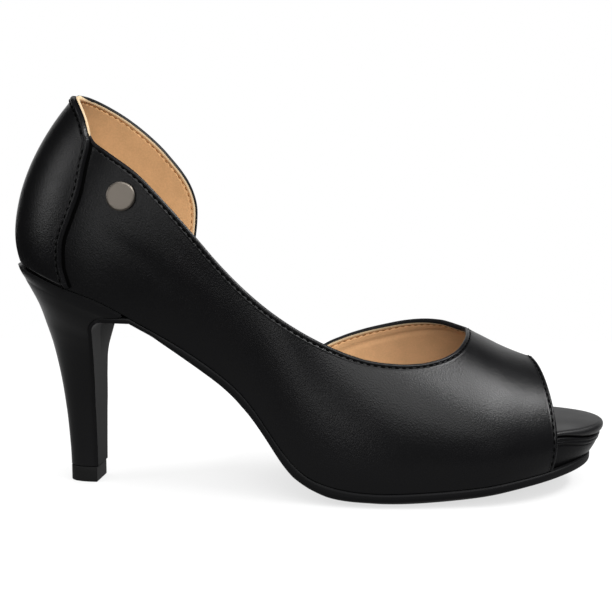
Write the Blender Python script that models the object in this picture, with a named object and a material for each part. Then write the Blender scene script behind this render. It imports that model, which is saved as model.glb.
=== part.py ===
"""Right shoe of a pair: a black peep-toe court shoe with a slim high heel, open at the inner waist.

+X points to the toe, +Y to the inner side of the foot, +Z up. The tables are in millimetres, measured
from the back of the heel and up from the floor; the finished pieces are in metres, with the origin on
the floor under the middle of the shoe.
"""
import math

import bpy
import numpy as np

MM = 0.001

# Driving dimensions, mm
GAP = 0.3
UPPER_WALL = 1.8
COUNTER_WALL = 0.9
INSOLE_THICK = 4.0
OUTSOLE_PROUD = 0.5
SOLE_CROWN = 3.2
BALL_HALF_WIDTH = 38.0
FLAP_THICK = 1.4
FLAP_FOOT_Z = 6.4
LIFT_HEIGHT = 6.0
LIFT_FRONT_X = 30.7
LIFT_LENGTH = 11.3
LIFT_HALF_WIDTH = 6.3
LIFT_SOFT_EDGE = 0.5
BREAST_X = 29.5
FLAP_BEND = 6.0
FLAP_ROUND = 0.2
SHANK_END_X = 45.5
SHANK_END_Z = 66.4
HEEL_TURN = 0.12
HEEL_TURN_FROM_Z = 30.0
PLATFORM_BACK_X = 88.5
STUD_X = 44.0
STUD_Z = 111.3
STUD_RADIUS = 5.55
SMOOTH_ANGLE = math.radians(40.0)

# How finely the surfaces are cut into faces
RIB_STEPS = 12
FRONT_RIBS = 14
QUARTER_RIBS = 33
SIDE_RIBS = 19
COUNTER_ACROSS = 27
COUNTER_UP = 11
PLATFORM_SECTIONS = 42
INSOLE_SECTIONS = 60
OUTSOLE_SECTIONS = 58
FLAP_BEND_SECTIONS = 7
FLAP_SECTIONS = 17
HEEL_RINGS = 26
HALF_D_STEPS = 14
STUD_STEPS = 32

# The last, one row a cross-section from the widest part of the heel to the ball. A rib of the last runs
# from the foot line up past a side point and a crown point to the ridge over the instep.
LAST_COLUMNS = ("foot_x", "foot_z", "foot_out", "foot_in", "side_out", "side_in", "rise",
                "ridge_x", "ridge_y", "ridge_z", "crown_out", "crown_in")
LAST_ROWS = (
    (35.0, 72.4, 24.5, 24.5, 30.0, 30.0, 32.0, 66.0, 0.0, 163.0, 23.0, 23.0),
    (48.0, 65.0, 23.2, 22.0, 30.5, 29.0, 30.0, 74.0, 0.3, 152.0, 28.0, 27.0),
    (62.0, 56.9, 22.4, 18.6, 30.5, 28.0, 28.0, 84.0, 0.8, 138.0, 32.0, 30.0),
    (76.0, 47.6, 23.2, 16.6, 31.0, 27.0, 26.0, 95.0, 1.6, 122.0, 34.0, 30.0),
    (88.0, 37.6, 26.4, 17.6, 33.5, 27.0, 25.0, 105.0, 2.6, 107.0, 34.5, 30.0),
    (98.0, 24.3, 30.0, 20.6, 36.5, 28.0, 24.0, 113.0, 3.6, 96.0, 35.0, 30.5),
    (108.0, 12.6, 33.6, 25.0, 39.5, 31.0, 23.0, 121.0, 4.6, 86.5, 35.0, 31.5),
    (120.0, 7.3, 36.8, 30.0, 42.5, 35.5, 22.0, 131.0, 5.8, 78.0, 34.5, 33.0),
    (136.0, 5.7, 39.2, 35.4, 44.8, 40.5, 20.5, 144.5, 7.0, 70.4, 32.6, 34.2),
    (155.0, 6.3, 38.8, 38.6, 44.4, 43.0, 21.0, 159.0, 8.0, 63.4, 28.8, 33.0),
    (173.0, 7.6, 36.6, 37.8, 42.4, 42.0, 21.0, 175.0, 8.6, 55.6, 24.0, 30.0),
)
# The same rib on the centre line, at the very back of the heel and at the tip of the toe.
RIB_COLUMNS = ("foot_x", "foot_z", "side_x", "side_z", "crown_x", "crown_z", "ridge_x", "ridge_z")
BACK_RIB = (3.4, 83.8, -9.4, 115.8, 34.8, 168.0, 62.0, 168.0)
TOE_RIB = (217.5, 13.4, 224.5, 23.0, 222.0, 38.5, 205.6, 43.8)
TOE_TURN_IN = 4.5
TOE_DIP = 2.2
TOE_LET_OUT = 0.6
TOE_LIP = 1.2
HEEL_ARC_STEPS = 4
TOE_ARC_STEPS = 6
# Parts of a row: the sole pieces stop this far short of the toe's tip, the insole this far from the
# heel's back, and the footbed begins to widen this far past the foot of the peep opening.
TIP_MARGIN = 0.22
BACK_MARGIN = 0.38
PEEP_MARGIN = 0.15
LIP_MARGIN = 0.4

# Edges of the openings in side view: height z of the top edge over x, and x of the ear's front edge over z.
OUTER_TOPLINE = ((22.0, 147.8), (24.6, 146.3), (28.3, 141.7), (30.9, 136.3), (32.0, 132.8), (33.6, 130.5),
                 (38.0, 127.4), (49.5, 119.3), (58.8, 110.0), (70.4, 97.0), (78.1, 88.0), (85.2, 80.6),
                 (93.3, 73.5), (103.5, 66.3), (116.8, 58.9), (130.9, 53.4), (143.6, 51.3), (151.1, 51.1),
                 (156.4, 51.6),
                 (161.7, 52.7), (166.1, 54.5), (168.3, 56.1), (169.7, 57.3), (170.4, 58.2))
EAR_TOP = ((22.0, 147.8), (24.4, 146.6), (27.3, 145.4), (33.9, 141.5), (41.0, 136.5), (48.6, 130.0),
           (54.3, 124.2), (60.2, 116.9), (70.0, 101.0))
EAR_FRONT = ((54.0, 57.5), (62.0, 58.5), (72.0, 61.0), (82.0, 64.0), (90.7, 65.4), (96.0, 66.0),
             (100.8, 66.2), (108.0, 64.9), (114.4, 61.9), (121.9, 56.2), (150.0, 31.0))
VAMP_EDGE = ((96.0, 18.0), (99.0, 27.0), (103.0, 35.0), (108.0, 41.5), (114.8, 47.6), (122.6, 51.2),
             (131.0, 54.0), (139.3, 56.2), (147.5, 58.2), (155.7, 59.4), (161.0, 59.5), (164.0, 59.0),
             (166.5, 58.35), (168.2, 57.95), (169.4, 57.7), (170.4, 57.7))
THROAT_X = 170.4
THROAT_LEAN = 1.4
EAR_FOOT_X = 57.3
VAMP_FOOT_X = 98.0
PEEP_OUT_X = 200.45
PEEP_IN_X = 194.5
PEEP_RIDGE_X = 195.6
PEEP_SCOOP = 1.9
# Front edge of the counter in side view: x over z.
COUNTER_EDGE = ((60.0, 27.0), (74.5, 25.0), (78.4, 23.5), (82.3, 22.3), (85.9, 21.6), (90.6, 21.6),
                (95.0, 22.2), (103.3, 25.3), (112.4, 28.6), (121.8, 30.5), (128.1, 32.0), (131.5, 32.2),
                (150.0, 32.4))
# The share of each rib that the counter covers, and the rows between which its front edge lies.
COUNTER_SHARES = (0.02, 0.985)
COUNTER_SEARCH_ROWS = (0.5, 5.5)
# Underside of the insole in side view where the platform lifts it off the foot line: z over x.
FOOTBED_LINE = ((84.0, 41.5), (92.0, 35.7), (100.0, 29.9), (110.0, 24.6), (120.0, 21.2), (135.0, 18.6),
                (150.0, 17.8), (170.0, 18.2), (190.0, 19.3), (205.0, 20.1), (230.0, 20.4))
# Thickness of the outsole at its edge, over x.
SOLE_EDGE = ((40.0, 2.0), (52.5, 2.0), (58.0, 2.6), (64.0, 3.05), (70.0, 3.25), (78.0, 3.3), (86.0, 3.4),
             (96.0, 3.4), (102.0, 3.6), (107.0, 3.5), (113.0, 3.8), (119.0, 4.2), (135.0, 3.5),
             (160.0, 3.5), (185.0, 3.5), (220.0, 3.3))
# Half the outsole's outline in section: down the edge and set in from it, then under it to the middle.
SOLE_SIDE_COLUMNS = ("depth_share", "set_in")
SOLE_SIDE = ((0.0, 0.5), (0.25, 0.0), (0.7, 0.1), (1.0, 0.9))
SOLE_UNDER_COLUMNS = ("across_share", "crown_share")
SOLE_UNDER = ((0.83, 0.66), (0.6, 1.0), (0.0, 1.0))
# The rounded edge of the insole: share of its thickness, and how far it is set in.
INSOLE_EDGE_COLUMNS = ("thick_share", "set_in")
INSOLE_EDGE = ((0.0, 1.1), (0.2, 0.25), (0.5, 0.0), (0.8, 0.25), (1.0, 1.1))
# Outline of the stud turned about its axis: height off the upper, and how far it is set in.
STUD_COLUMNS = ("lift", "set_in")
STUD_ROWS = ((0.0, 0.35), (0.5, 0.0), (1.1, 0.0), (1.5, 0.5), (1.7, 1.3))
# The heel, one row a ring: its back point, how far its front has run up the breast, and its half width.
HEEL_COLUMNS = ("back_x", "back_z", "front_run", "half_width")
HEEL_ROWS = (
    (19.4, 6.3, 0.0, 6.3),
    (19.1, 14.0, 7.7, 6.7),
    (18.1, 27.0, 20.2, 7.6),
    (16.2, 41.0, 33.2, 9.6),
    (13.6, 53.5, 43.7, 12.6),
    (10.9, 62.5, 50.2, 15.6),
    (8.9, 69.0, 55.0, 18.2),
    (6.5, 74.2, 59.5, 20.6),
    (3.8, 78.6, 64.5, 22.6),
    (1.6, 81.8, 70.2, 23.8),
    (0.9, 83.4, 70.6, 24.3),
)
# Rows of that table from which the rings widen into the seat and from which their tops follow the foot line.
SEAT_FROM_ROW = 5.0
SEAT_POWER = 1.5
SEAT_TOP_ROWS = (8.5, 10.0)
# Let-out of the seat beyond the foot line over x, and the half width over which it fades at the back.
SEAT_LET_OUT = ((2.0, 0.9), (22.0, -0.3))
SEAT_FADE = 8.0
D_POWER = 0.85


def columns(names, rows):
    """Table as a dictionary of arrays, one for each named column."""
    return dict(zip(names, np.array(rows, float).T))


def curve(points):
    """Smooth single-valued curve through the points: cubic pieces with averaged, overshoot-free slopes."""
    at, value = np.array(points, float).T
    step = np.diff(at)
    secant = np.diff(value) / step
    slope = np.concatenate([secant[:1], 0.5 * (secant[1:] + secant[:-1]), secant[-1:]])
    turns = secant[1:] * secant[:-1] <= 0
    slope[1:-1][turns] = 0.0

    def height(x):
        x = np.asarray(x, float)
        k = np.clip(np.searchsorted(at, x) - 1, 0, len(step) - 1)
        f = np.clip((x - at[k]) / step[k], -0.5, 1.5)
        rise = value[k + 1] - value[k]
        lead, tail = slope[k] * step[k], slope[k + 1] * step[k]
        return value[k] + f * (lead + f * (3 * rise - 2 * lead - tail + f * (lead + tail - 2 * rise)))

    return height


def closed_spline(rows):
    """Closed cubic spline through evenly numbered rows, smooth to the second derivative."""
    count = len(rows)
    unit = np.eye(count)
    matrix = 4 * unit + np.roll(unit, 1, 0) + np.roll(unit, -1, 0)
    second = 6 * (np.roll(rows, -1, 0) - 2 * rows + np.roll(rows, 1, 0))
    bend = np.linalg.solve(matrix, second.reshape(count, -1)).reshape(rows.shape)

    def point(number):
        number = np.asarray(number, float)
        low = np.floor(number).astype(int)
        f = (number - low)[..., None, None]
        g = 1 - f
        a, b = low % count, (low + 1) % count
        return g * rows[a] + f * rows[b] + ((g ** 3 - g) * bend[a] + (f ** 3 - f) * bend[b]) / 6

    return point


def last_rows():
    """Four rails (foot, side, crown, ridge) at each row, once round the last from the heel and back."""
    t = columns(LAST_COLUMNS, LAST_ROWS)
    back = dict(zip(RIB_COLUMNS, BACK_RIB))
    toe = dict(zip(RIB_COLUMNS, TOE_RIB))
    ridge_slope = (toe["ridge_z"] - t["ridge_z"][-1]) / (toe["ridge_x"] - t["ridge_x"][-1])

    def half(foot, side, crown, sign):
        lean = (t["ridge_x"] - t["foot_x"]) / 3
        straight = np.stack([
            np.stack([t["foot_x"], sign * t[foot], t["foot_z"]], -1),
            np.stack([t["foot_x"] + lean, sign * t[side], t["foot_z"] + t["rise"]], -1),
            np.stack([t["ridge_x"], sign * t[crown], t["ridge_z"]], -1),
            np.stack([t["ridge_x"], t["ridge_y"], t["ridge_z"]], -1)], 1)
        rails = ("foot", "side", "crown", "ridge")
        heel_end, toe_end = straight[0], straight[-1]
        lead = (toe_end[:, 1] - straight[-2, :, 1]) / (toe_end[:, 0] - straight[-2, :, 0])
        back_rib = np.array([[back[r + "_x"], 0.0, back[r + "_z"]] for r in rails])
        toe_rib = np.array([[toe[r + "_x"], 0.0, toe[r + "_z"]] for r in rails])
        heel, tip = [], []
        for step in range(HEEL_ARC_STEPS):
            angle = 0.5 * math.pi * step / HEEL_ARC_STEPS
            row = heel_end + (back_rib - heel_end) * math.cos(angle)
            row[:, 1] = heel_end[:, 1] * math.sin(angle)
            heel.append(row)
        for step in range(1, TOE_ARC_STEPS + 1):
            angle = 0.5 * math.pi * step / TOE_ARC_STEPS
            reach = math.sin(angle)
            row = toe_end + (toe_rib - toe_end) * reach
            run_on = lead * (row[:, 0] - toe_end[:, 0]) * math.cos(angle) ** 2
            row[:, 1] = toe_end[:, 1] * math.cos(angle) + TOE_TURN_IN * reach ** 2 + run_on
            row[3, 1] = toe_end[3, 1]
            row[3, 2] -= TOE_DIP * math.sin(2 * angle) * math.cos(angle) ** 4
            row[2, 2] = row[3, 2] + ridge_slope * (row[2, 0] - row[3, 0])
            tip.append(row)
        return np.concatenate([heel, straight, tip])

    outer = half("foot_out", "side_out", "crown_out", -1.0)
    inner = half("foot_in", "side_in", "crown_in", 1.0)
    return np.concatenate([outer, inner[-2:0:-1]])


LAST = last_rows()
ROUND = len(LAST)
TIP = ROUND // 2
rails_at = closed_spline(LAST)


def last_point(station, height):
    """Point of the last: station is the row number round it, height runs 0 to 1 up the rib."""
    station, height = np.broadcast_arrays(np.asarray(station, float), np.asarray(height, float))
    rails = rails_at(station)
    h = height[..., None]
    g = 1 - h
    return (g ** 3 * rails[..., 0, :] + 3 * g * g * h * rails[..., 1, :]
            + 3 * g * h * h * rails[..., 2, :] + h ** 3 * rails[..., 3, :])


def skin(station, height, offset):
    """Last point moved along the outward normal by offset, negative for inwards."""
    nudge = 1e-3
    along = last_point(station + nudge, height) - last_point(station - nudge, height)
    up = last_point(station, height + nudge) - last_point(station, height - nudge)
    normal = np.cross(along, up)
    normal /= np.linalg.norm(normal, axis=-1, keepdims=True)
    return last_point(station, height) + normal * np.asarray(offset, float)[..., None]


def station_at(x, rail=0):
    """Row number on the outer side where the foot line (rail 0) or the ridge (rail 3) has this x."""
    rows = np.linspace(0.0, TIP, 4001)
    return float(np.interp(x, rails_at(rows)[:, rail, 0], rows))


def inner_side(station):
    """The same row on the inner side."""
    return ROUND - station


def edge_height(station, inside):
    """Height on the rib where it leaves the region that inside(x, z) marks as positive."""
    heights = np.linspace(0.0, 1.0, 801)
    p = last_point(np.full_like(heights, station), heights)
    value = inside(p[:, 0], p[:, 2])
    out = np.nonzero(value <= 0)[0]
    if len(out) == 0:
        return 1.0
    k = max(out[0], 1)
    return float(heights[k - 1] + (heights[k] - heights[k - 1]) * value[k - 1] / (value[k - 1] - value[k]))


def height_at_z(station, z):
    """Height on the rib at which it passes the level z."""
    return edge_height(station, lambda _x, rib_z: z - rib_z)


outer_top = curve(OUTER_TOPLINE)
ear_top = curve(EAR_TOP)
ear_front = curve(EAR_FRONT)
vamp_edge = curve(VAMP_EDGE)
counter_edge = curve(COUNTER_EDGE)
footbed_line = curve(FOOTBED_LINE)
THROAT = station_at(THROAT_X, rail=3)
PEEP = station_at(PEEP_OUT_X)
PEEP_IN = station_at(PEEP_IN_X)
PEEP_RIDGE = station_at(PEEP_RIDGE_X, rail=3)
EAR_FOOT = station_at(EAR_FOOT_X)
VAMP_FOOT = station_at(VAMP_FOOT_X)


def inside_outer(x, z):
    return outer_top(x) - z


def inside_ear(x, z):
    return np.minimum(ear_top(x) - z, ear_front(z) - x)


def inside_vamp(x, z):
    return vamp_edge(x) - z


def foot_line_z(x):
    """Height of the foot line, equal on both sides, at this x."""
    rows = np.linspace(0.0, TIP, 801)
    foot = rails_at(rows)[:, 0]
    return np.interp(x, foot[:, 0], foot[:, 2])


def grid_faces(index):
    """Quads over a grid of vertex numbers."""
    corners = (index[:-1, :-1], index[1:, :-1], index[1:, 1:], index[:-1, 1:])
    return np.stack(corners, -1).reshape(-1, 4).tolist()


def rim_faces(outer, inner):
    """Quads between two matching open or closed runs of vertex numbers."""
    return np.stack([outer[1:], outer[:-1], inner[:-1], inner[1:]], -1).tolist()


def add_piece(name, points, faces, colour, roughness, metallic=0.0):
    """Named object with its own material; faces are turned outwards by the sign of the volume."""
    points = np.asarray(points, float)
    volume = 0.0
    for face in faces:
        p = points[list(face)]
        for a in range(1, len(face) - 1):
            volume += np.dot(p[0], np.cross(p[a], p[a + 1]))
    if volume < 0:
        faces = [tuple(reversed(face)) for face in faces]
    mesh = bpy.data.meshes.new(name)
    mesh.from_pydata((points * MM).tolist(), [], [tuple(face) for face in faces])
    mesh.shade_smooth()
    mesh.set_sharp_from_angle(angle=SMOOTH_ANGLE)
    material = bpy.data.materials.new(name)
    material.use_nodes = True
    shader = material.node_tree.nodes["Principled BSDF"]
    shader.inputs["Base Color"].default_value = (*colour, 1.0)
    shader.inputs["Roughness"].default_value = roughness
    shader.inputs["Metallic"].default_value = metallic
    mesh.materials.append(material)
    piece = bpy.data.objects.new(name, mesh)
    bpy.context.scene.collection.objects.link(piece)
    return piece


def stacked_loops(loops):
    """Closed solid from matching loops, ring on ring; the end loops are closed with straight rungs."""
    loops = np.asarray(loops, float)
    rings, count = loops.shape[:2]
    index = np.arange(rings * count).reshape(rings, count)
    faces = grid_faces(np.concatenate([index, index[:, :1]], 1))
    for ring, flip in ((index[0], False), (index[-1], True)):
        for k in range(count // 2):
            rung = [ring[k], ring[k + 1], ring[count - 2 - k], ring[count - 1 - k]]
            rung = list(dict.fromkeys(int(v) for v in rung))
            if len(rung) > 2:
                faces.append(rung[::-1] if flip else rung)
    return loops.reshape(-1, 3), faces


def crowded_ends(steps):
    """Shares 0 to 1 in this many steps, short at both ends and long in the middle."""
    return 0.5 - 0.5 * np.cos(np.linspace(0.0, math.pi, steps + 1))


def make_upper():
    """Hollow wall: outer skin on the last, inner skin one wall inside it, joined round every edge."""
    share = np.linspace(0.0, 1.0, RIB_STEPS + 1)
    reach = np.linspace(1.0, 0.0, FRONT_RIBS)[:, None]
    scoop = PEEP_SCOOP * share ** 2 * (1 - share)
    peep_out = PEEP + (PEEP_RIDGE - PEEP) * share ** 2 - scoop
    peep_in = PEEP_IN + (PEEP_RIDGE - PEEP_IN) * share ** 2 - scoop
    throat = THROAT + THROAT_LEAN * (1 - share)
    front_out = throat + (peep_out - throat) * reach
    front_in = inner_side(throat + (peep_in - throat) * reach)[::-1]
    quarter = THROAT * crowded_ends(QUARTER_RIBS)[-2::-1]
    ear = EAR_FOOT * crowded_ends(SIDE_RIBS)[1:]
    back_vamp = VAMP_FOOT + (THROAT - VAMP_FOOT) * crowded_ends(SIDE_RIBS)[:-1]
    quarter_top = [edge_height(s, inside_outer) for s in quarter]
    ear_top_height = [edge_height(inner_side(s), inside_ear) for s in ear]
    vamp_top = [edge_height(inner_side(s), inside_vamp) for s in back_vamp]

    def ribs(tops):
        """Stations down each rib; ribs lean forward near the throat, to meet its edge squarely."""
        near = np.clip((tops - VAMP_FOOT) / (THROAT - VAMP_FOOT), 0.0, 1.0)
        lean = THROAT_LEAN * near * near * (3 - 2 * near)
        return tops[:, None] + lean[:, None] * (1 - share)

    def sheet(stations, tops):
        heights = np.array(tops)[:, None] * share
        places = np.concatenate(stations)
        wall = np.full(heights.shape, UPPER_WALL)
        return skin(places, heights, 0 * wall), skin(places, heights, -wall)

    whole = [1.0] * FRONT_RIBS
    main_out, main_in = sheet([front_out, ribs(quarter), inner_side(ribs(ear))],
                              whole + quarter_top + ear_top_height)
    vamp_out, vamp_in = sheet([inner_side(ribs(back_vamp)), front_in], vamp_top + whole)
    main = np.arange(main_out[..., 0].size).reshape(main_out.shape[:2])
    vamp = np.arange(vamp_out[..., 0].size).reshape(vamp_out.shape[:2]) + main.size
    vamp[-FRONT_RIBS:, -1] = main[:FRONT_RIBS, -1][::-1]
    points = np.concatenate([main_out.reshape(-1, 3), vamp_out.reshape(-1, 3),
                             main_in.reshape(-1, 3), vamp_in.reshape(-1, 3)])
    deep = main.size + vamp.size
    faces = grid_faces(main) + grid_faces(vamp)
    faces += [[v + deep for v in face[::-1]] for face in faces]
    throat_in, throat_out = FRONT_RIBS - 1, len(vamp) - FRONT_RIBS
    rim = np.concatenate([main[:, 0], main[-1, 1:], main[-2:throat_in - 1:-1, -1],
                          vamp[throat_out - 1::-1, -1], vamp[0, -2::-1], vamp[1:, 0], vamp[-1, 1:],
                          main[0, -2::-1]])
    faces += rim_faces(rim, rim + deep)
    used = np.unique(np.concatenate([np.ravel(face) for face in faces]))
    renumber = np.zeros(len(points), int)
    renumber[used] = np.arange(len(used))
    return points[used], [[int(renumber[v]) for v in face] for face in faces]


def make_counter():
    """Overlay round the heel: two skins just outside the upper, up to its front edge on both sides."""
    share = np.linspace(*COUNTER_SHARES, COUNTER_UP)
    slide = np.linspace(-1.0, 1.0, COUNTER_ACROSS)
    stations = np.zeros((COUNTER_UP, COUNTER_ACROSS))
    heights = np.zeros((COUNTER_UP, COUNTER_ACROSS))
    search = np.linspace(*COUNTER_SEARCH_ROWS, 120)
    for side, sign, inside in ((1, -1.0, inside_outer), (-1, 1.0, inside_ear)):
        rows = search if side > 0 else inner_side(search)
        tops = np.array([edge_height(s, inside) for s in rows])
        for level, part in enumerate(share):
            p = last_point(rows, tops * part)
            ahead = p[:, 0] - counter_edge(p[:, 2])
            reach = np.interp(0.0, ahead, search)
            mine = slide * sign >= 0
            station = reach * np.abs(slide[mine])
            station = station if side > 0 else -station
            stations[level, mine] = station
            heights[level, mine] = part * np.array([edge_height(s % ROUND, inside) for s in station])
    outer = skin(stations, heights, np.full(stations.shape, GAP + COUNTER_WALL))
    inner = skin(stations, heights, np.full(stations.shape, GAP))
    return outer, inner


def closed_sheet(outer, inner):
    """Closed solid between two matching grids."""
    index = np.arange(outer[..., 0].size).reshape(outer.shape[:2])
    deep = index.size
    faces = grid_faces(index)
    faces += [[v + deep for v in face[::-1]] for face in faces]
    rim = np.concatenate([index[:, 0], index[-1, 1:], index[-2::-1, -1], index[0, -2::-1]])
    faces += rim_faces(rim, rim + deep)
    return np.concatenate([outer.reshape(-1, 3), inner.reshape(-1, 3)]), faces


def inset_at(station):
    """How far the platform and insole sit inside the last: within the upper, easing out at the open toe."""
    start = PEEP + PEEP_MARGIN
    ease = np.clip((station - start) / (TIP - start), 0.0, 1.0)
    return (UPPER_WALL + GAP) - (UPPER_WALL + GAP + TOE_LET_OUT) * ease * ease * (3 - 2 * ease)


def edge_points(station, levels, extra):
    """Points on both sides of one cross-section at the given heights, inset from the last."""
    rows = []
    for place in (station, inner_side(station)):
        heights = np.array([height_at_z(place, max(z, foot_line_z(rails_at(place)[0, 0]))) for z in levels])
        rows.append(skin(np.full(len(levels), place), heights, extra - inset_at(station)))
        rows[-1][:, 2] = levels
    return rows


def make_platform():
    """Block between outsole and insole, its wall following the inside of the upper."""
    loops = []
    for station in np.linspace(station_at(PLATFORM_BACK_X), TIP - TIP_MARGIN, PLATFORM_SECTIONS):
        x = rails_at(station)[0, 0]
        low = foot_line_z(x)
        high = footbed_line(x) - GAP
        levels = low + (high - low) * np.linspace(0.0, 1.0, 4)
        out, inn = edge_points(station, levels, np.zeros(4))
        loops.append(np.concatenate([out, inn[::-1]]))
    return stacked_loops(loops)


def insole_under(x):
    """Underside of the insole: the foot line to the arch, then the top of the platform."""
    line = footbed_line(x)
    return np.where(x < FOOTBED_LINE[0][0], foot_line_z(x), line)


def make_insole():
    """Footbed plate with a rounded edge, from the heel to the lip at the toe."""
    edge = columns(INSOLE_EDGE_COLUMNS, INSOLE_EDGE)
    loops = []
    for station in np.linspace(BACK_MARGIN, TIP - TIP_MARGIN, INSOLE_SECTIONS):
        x = rails_at(station)[0, 0]
        levels = float(insole_under(x)) + edge["thick_share"] * INSOLE_THICK
        lip = TOE_LIP * np.clip((station - PEEP - LIP_MARGIN) / (TIP - PEEP), 0.0, 1.0)
        out, inn = edge_points(station, levels, lip - edge["set_in"])
        loops.append(np.concatenate([out, inn[::-1]]))
    return stacked_loops(loops)


heel_table = columns(HEEL_COLUMNS, HEEL_ROWS)
BEND_X = BREAST_X + GAP + FLAP_BEND
BEND_Z = SHANK_END_Z - FLAP_BEND


def breast_path(run):
    """Front of the heel in side view: up the breast, round the bend and forward under the seat lip."""
    radius = FLAP_BEND + GAP
    straight = BEND_Z - heel_table["back_z"][0]
    angle = np.clip((run - straight) / radius, 0.0, 0.5 * math.pi)
    beyond = np.maximum(run - straight - 0.5 * math.pi * radius, 0.0)
    x = BEND_X - radius * np.cos(angle) + beyond
    z = BEND_Z - np.maximum(straight - run, 0.0) + radius * np.sin(angle)
    return x, z


def turned(points, z):
    """Slide points along x in step with y, which turns the slim part of the heel a little outwards."""
    points = np.array(points, float)
    points[..., 0] += HEEL_TURN * points[..., 1] * np.interp(z, (HEEL_TURN_FROM_Z, SHANK_END_Z), (1.0, 0.0))
    return points


def breast_half_width(z):
    return np.interp(z, breast_path(heel_table["front_run"])[1], heel_table["half_width"])


def both_halves(x, side_y, z, level):
    """Loop down one side of a section, under it and up the other side."""
    x, z = np.broadcast_to(x, side_y.shape), np.broadcast_to(z, side_y.shape)
    out = turned(np.stack([x, -side_y, z], -1), level)
    inn = turned(np.stack([x, side_y, z], -1), level)
    return np.concatenate([out, inn[-2::-1]])


def make_outsole():
    """Strip from the toe along the shank, bent round the heel's front corner and down to the lift."""
    side = columns(SOLE_SIDE_COLUMNS, SOLE_SIDE)
    under = columns(SOLE_UNDER_COLUMNS, SOLE_UNDER)
    edge_thick = curve(SOLE_EDGE)
    loops = []
    for station in np.linspace(TIP - TIP_MARGIN, station_at(SHANK_END_X), OUTSOLE_SECTIONS):
        foot_out, foot_in = rails_at(station)[0], rails_at(inner_side(station))[0]
        x = foot_out[0]
        slope = (foot_line_z(x + 1.0) - foot_line_z(x - 1.0)) / 2.0
        top = foot_out[2] - GAP
        thick = edge_thick(x) * math.hypot(1.0, min(abs(slope), 1.0)) - GAP
        middle = 0.5 * (foot_in[1] + foot_out[1])
        half = 0.5 * (foot_in[1] - foot_out[1]) + OUTSOLE_PROUD
        crown = SOLE_CROWN * (half / BALL_HALF_WIDTH) ** 3
        low = np.maximum(top - thick - crown * under["crown_share"], 0.0)
        side_y = np.concatenate([half - side["set_in"], under["across_share"] * (half - side["set_in"][-1])])
        side_z = np.concatenate([top - thick * side["depth_share"], low])
        loops.append(both_halves(x, side_y, side_z, SHANK_END_Z) + (0.0, middle, 0.0))
    angles = np.concatenate([np.linspace(0.0, 0.5 * math.pi, FLAP_BEND_SECTIONS),
                             np.full(FLAP_SECTIONS, 0.5 * math.pi)])
    drop = np.concatenate([np.zeros(FLAP_BEND_SECTIONS),
                           np.linspace(0.0, BEND_Z - FLAP_FOOT_Z, FLAP_SECTIONS + 1)[1:]])
    for angle, down in zip(angles, drop):
        ahead, below = math.sin(angle), math.cos(angle)
        x, z = BEND_X - FLAP_BEND * ahead, BEND_Z + FLAP_BEND * below - down
        half = breast_half_width(z) + GAP
        thick = edge_thick(SHANK_END_X) + (FLAP_THICK - edge_thick(SHANK_END_X)) * ahead
        depth = thick * np.concatenate([side["depth_share"], np.ones(len(SOLE_UNDER))])
        wide = half + FLAP_ROUND * (1 - 2 * side["depth_share"])
        wide[0] = half
        side_y = np.concatenate([wide, under["across_share"] * half])
        loops.append(both_halves(x + ahead * depth, side_y, z - below * depth, z))
    return stacked_loops(loops)


def seat_half_width(x, back_x):
    """Half width of the heel seat: the foot line, let out at the back to carry the counter too."""
    foot = rails_at(np.linspace(0.0, 0.5 * TIP, 401))[:, 0]
    x = np.maximum(x, foot[0, 0] + (x - back_x) * (BEND_X - foot[0, 0]) / (BEND_X - back_x))
    y = np.interp(x, foot[:, 0], -foot[:, 1])
    let_out = np.interp(x, *np.transpose(SEAT_LET_OUT))
    return y + let_out * np.clip(y / SEAT_FADE, 0.0, 1.0)


def make_heel():
    """Slim heel: D-shaped rings from the lift up to the seat that carries the back of the shoe."""
    rows = np.arange(len(HEEL_ROWS), dtype=float)
    fine = np.linspace(0.0, rows[-1], HEEL_RINGS)
    ring = {name: curve(np.stack([rows, values], -1))(fine) for name, values in heel_table.items()}
    angle = np.linspace(0.0, 0.5 * math.pi, HALF_D_STEPS)
    loops = []
    for k, row in enumerate(fine):
        back_x, back_z = ring["back_x"][k], ring["back_z"][k]
        front_x, front_z = breast_path(ring["front_run"][k])
        x = front_x - (front_x - back_x) * np.sin(angle)
        y = ring["half_width"][k] * np.maximum(np.cos(angle), 0.0) ** D_POWER
        seat_share = np.clip((row - SEAT_FROM_ROW) / (rows[-1] - SEAT_FROM_ROW), 0.0, 1.0) ** SEAT_POWER
        y = y + (seat_half_width(x, back_x) - y) * seat_share
        y[-1] = 0.0
        z = back_z + (front_z - back_z) * (x - back_x) / (front_x - back_x)
        z = z + (foot_line_z(x) - GAP - z) * np.interp(row, SEAT_TOP_ROWS, (0.0, 1.0)) ** 2
        loops.append(both_halves(x, y, z, front_z))
    return stacked_loops(loops)


def make_top_piece():
    """Lift under the heel: the heel's own D, a little longer to the front, with a softened lower edge."""
    angle = np.linspace(0.0, 0.5 * math.pi, HALF_D_STEPS)
    loops = []
    for z, inset in ((LIFT_HEIGHT, 0.0), (LIFT_SOFT_EDGE, 0.0), (0.0, LIFT_SOFT_EDGE)):
        x = LIFT_FRONT_X - inset - (LIFT_LENGTH - 2 * inset) * np.sin(angle)
        y = (LIFT_HALF_WIDTH - inset) * np.maximum(np.cos(angle), 0.0) ** D_POWER
        loops.append(both_halves(x, y, z, z))
    return stacked_loops(loops)


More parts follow.
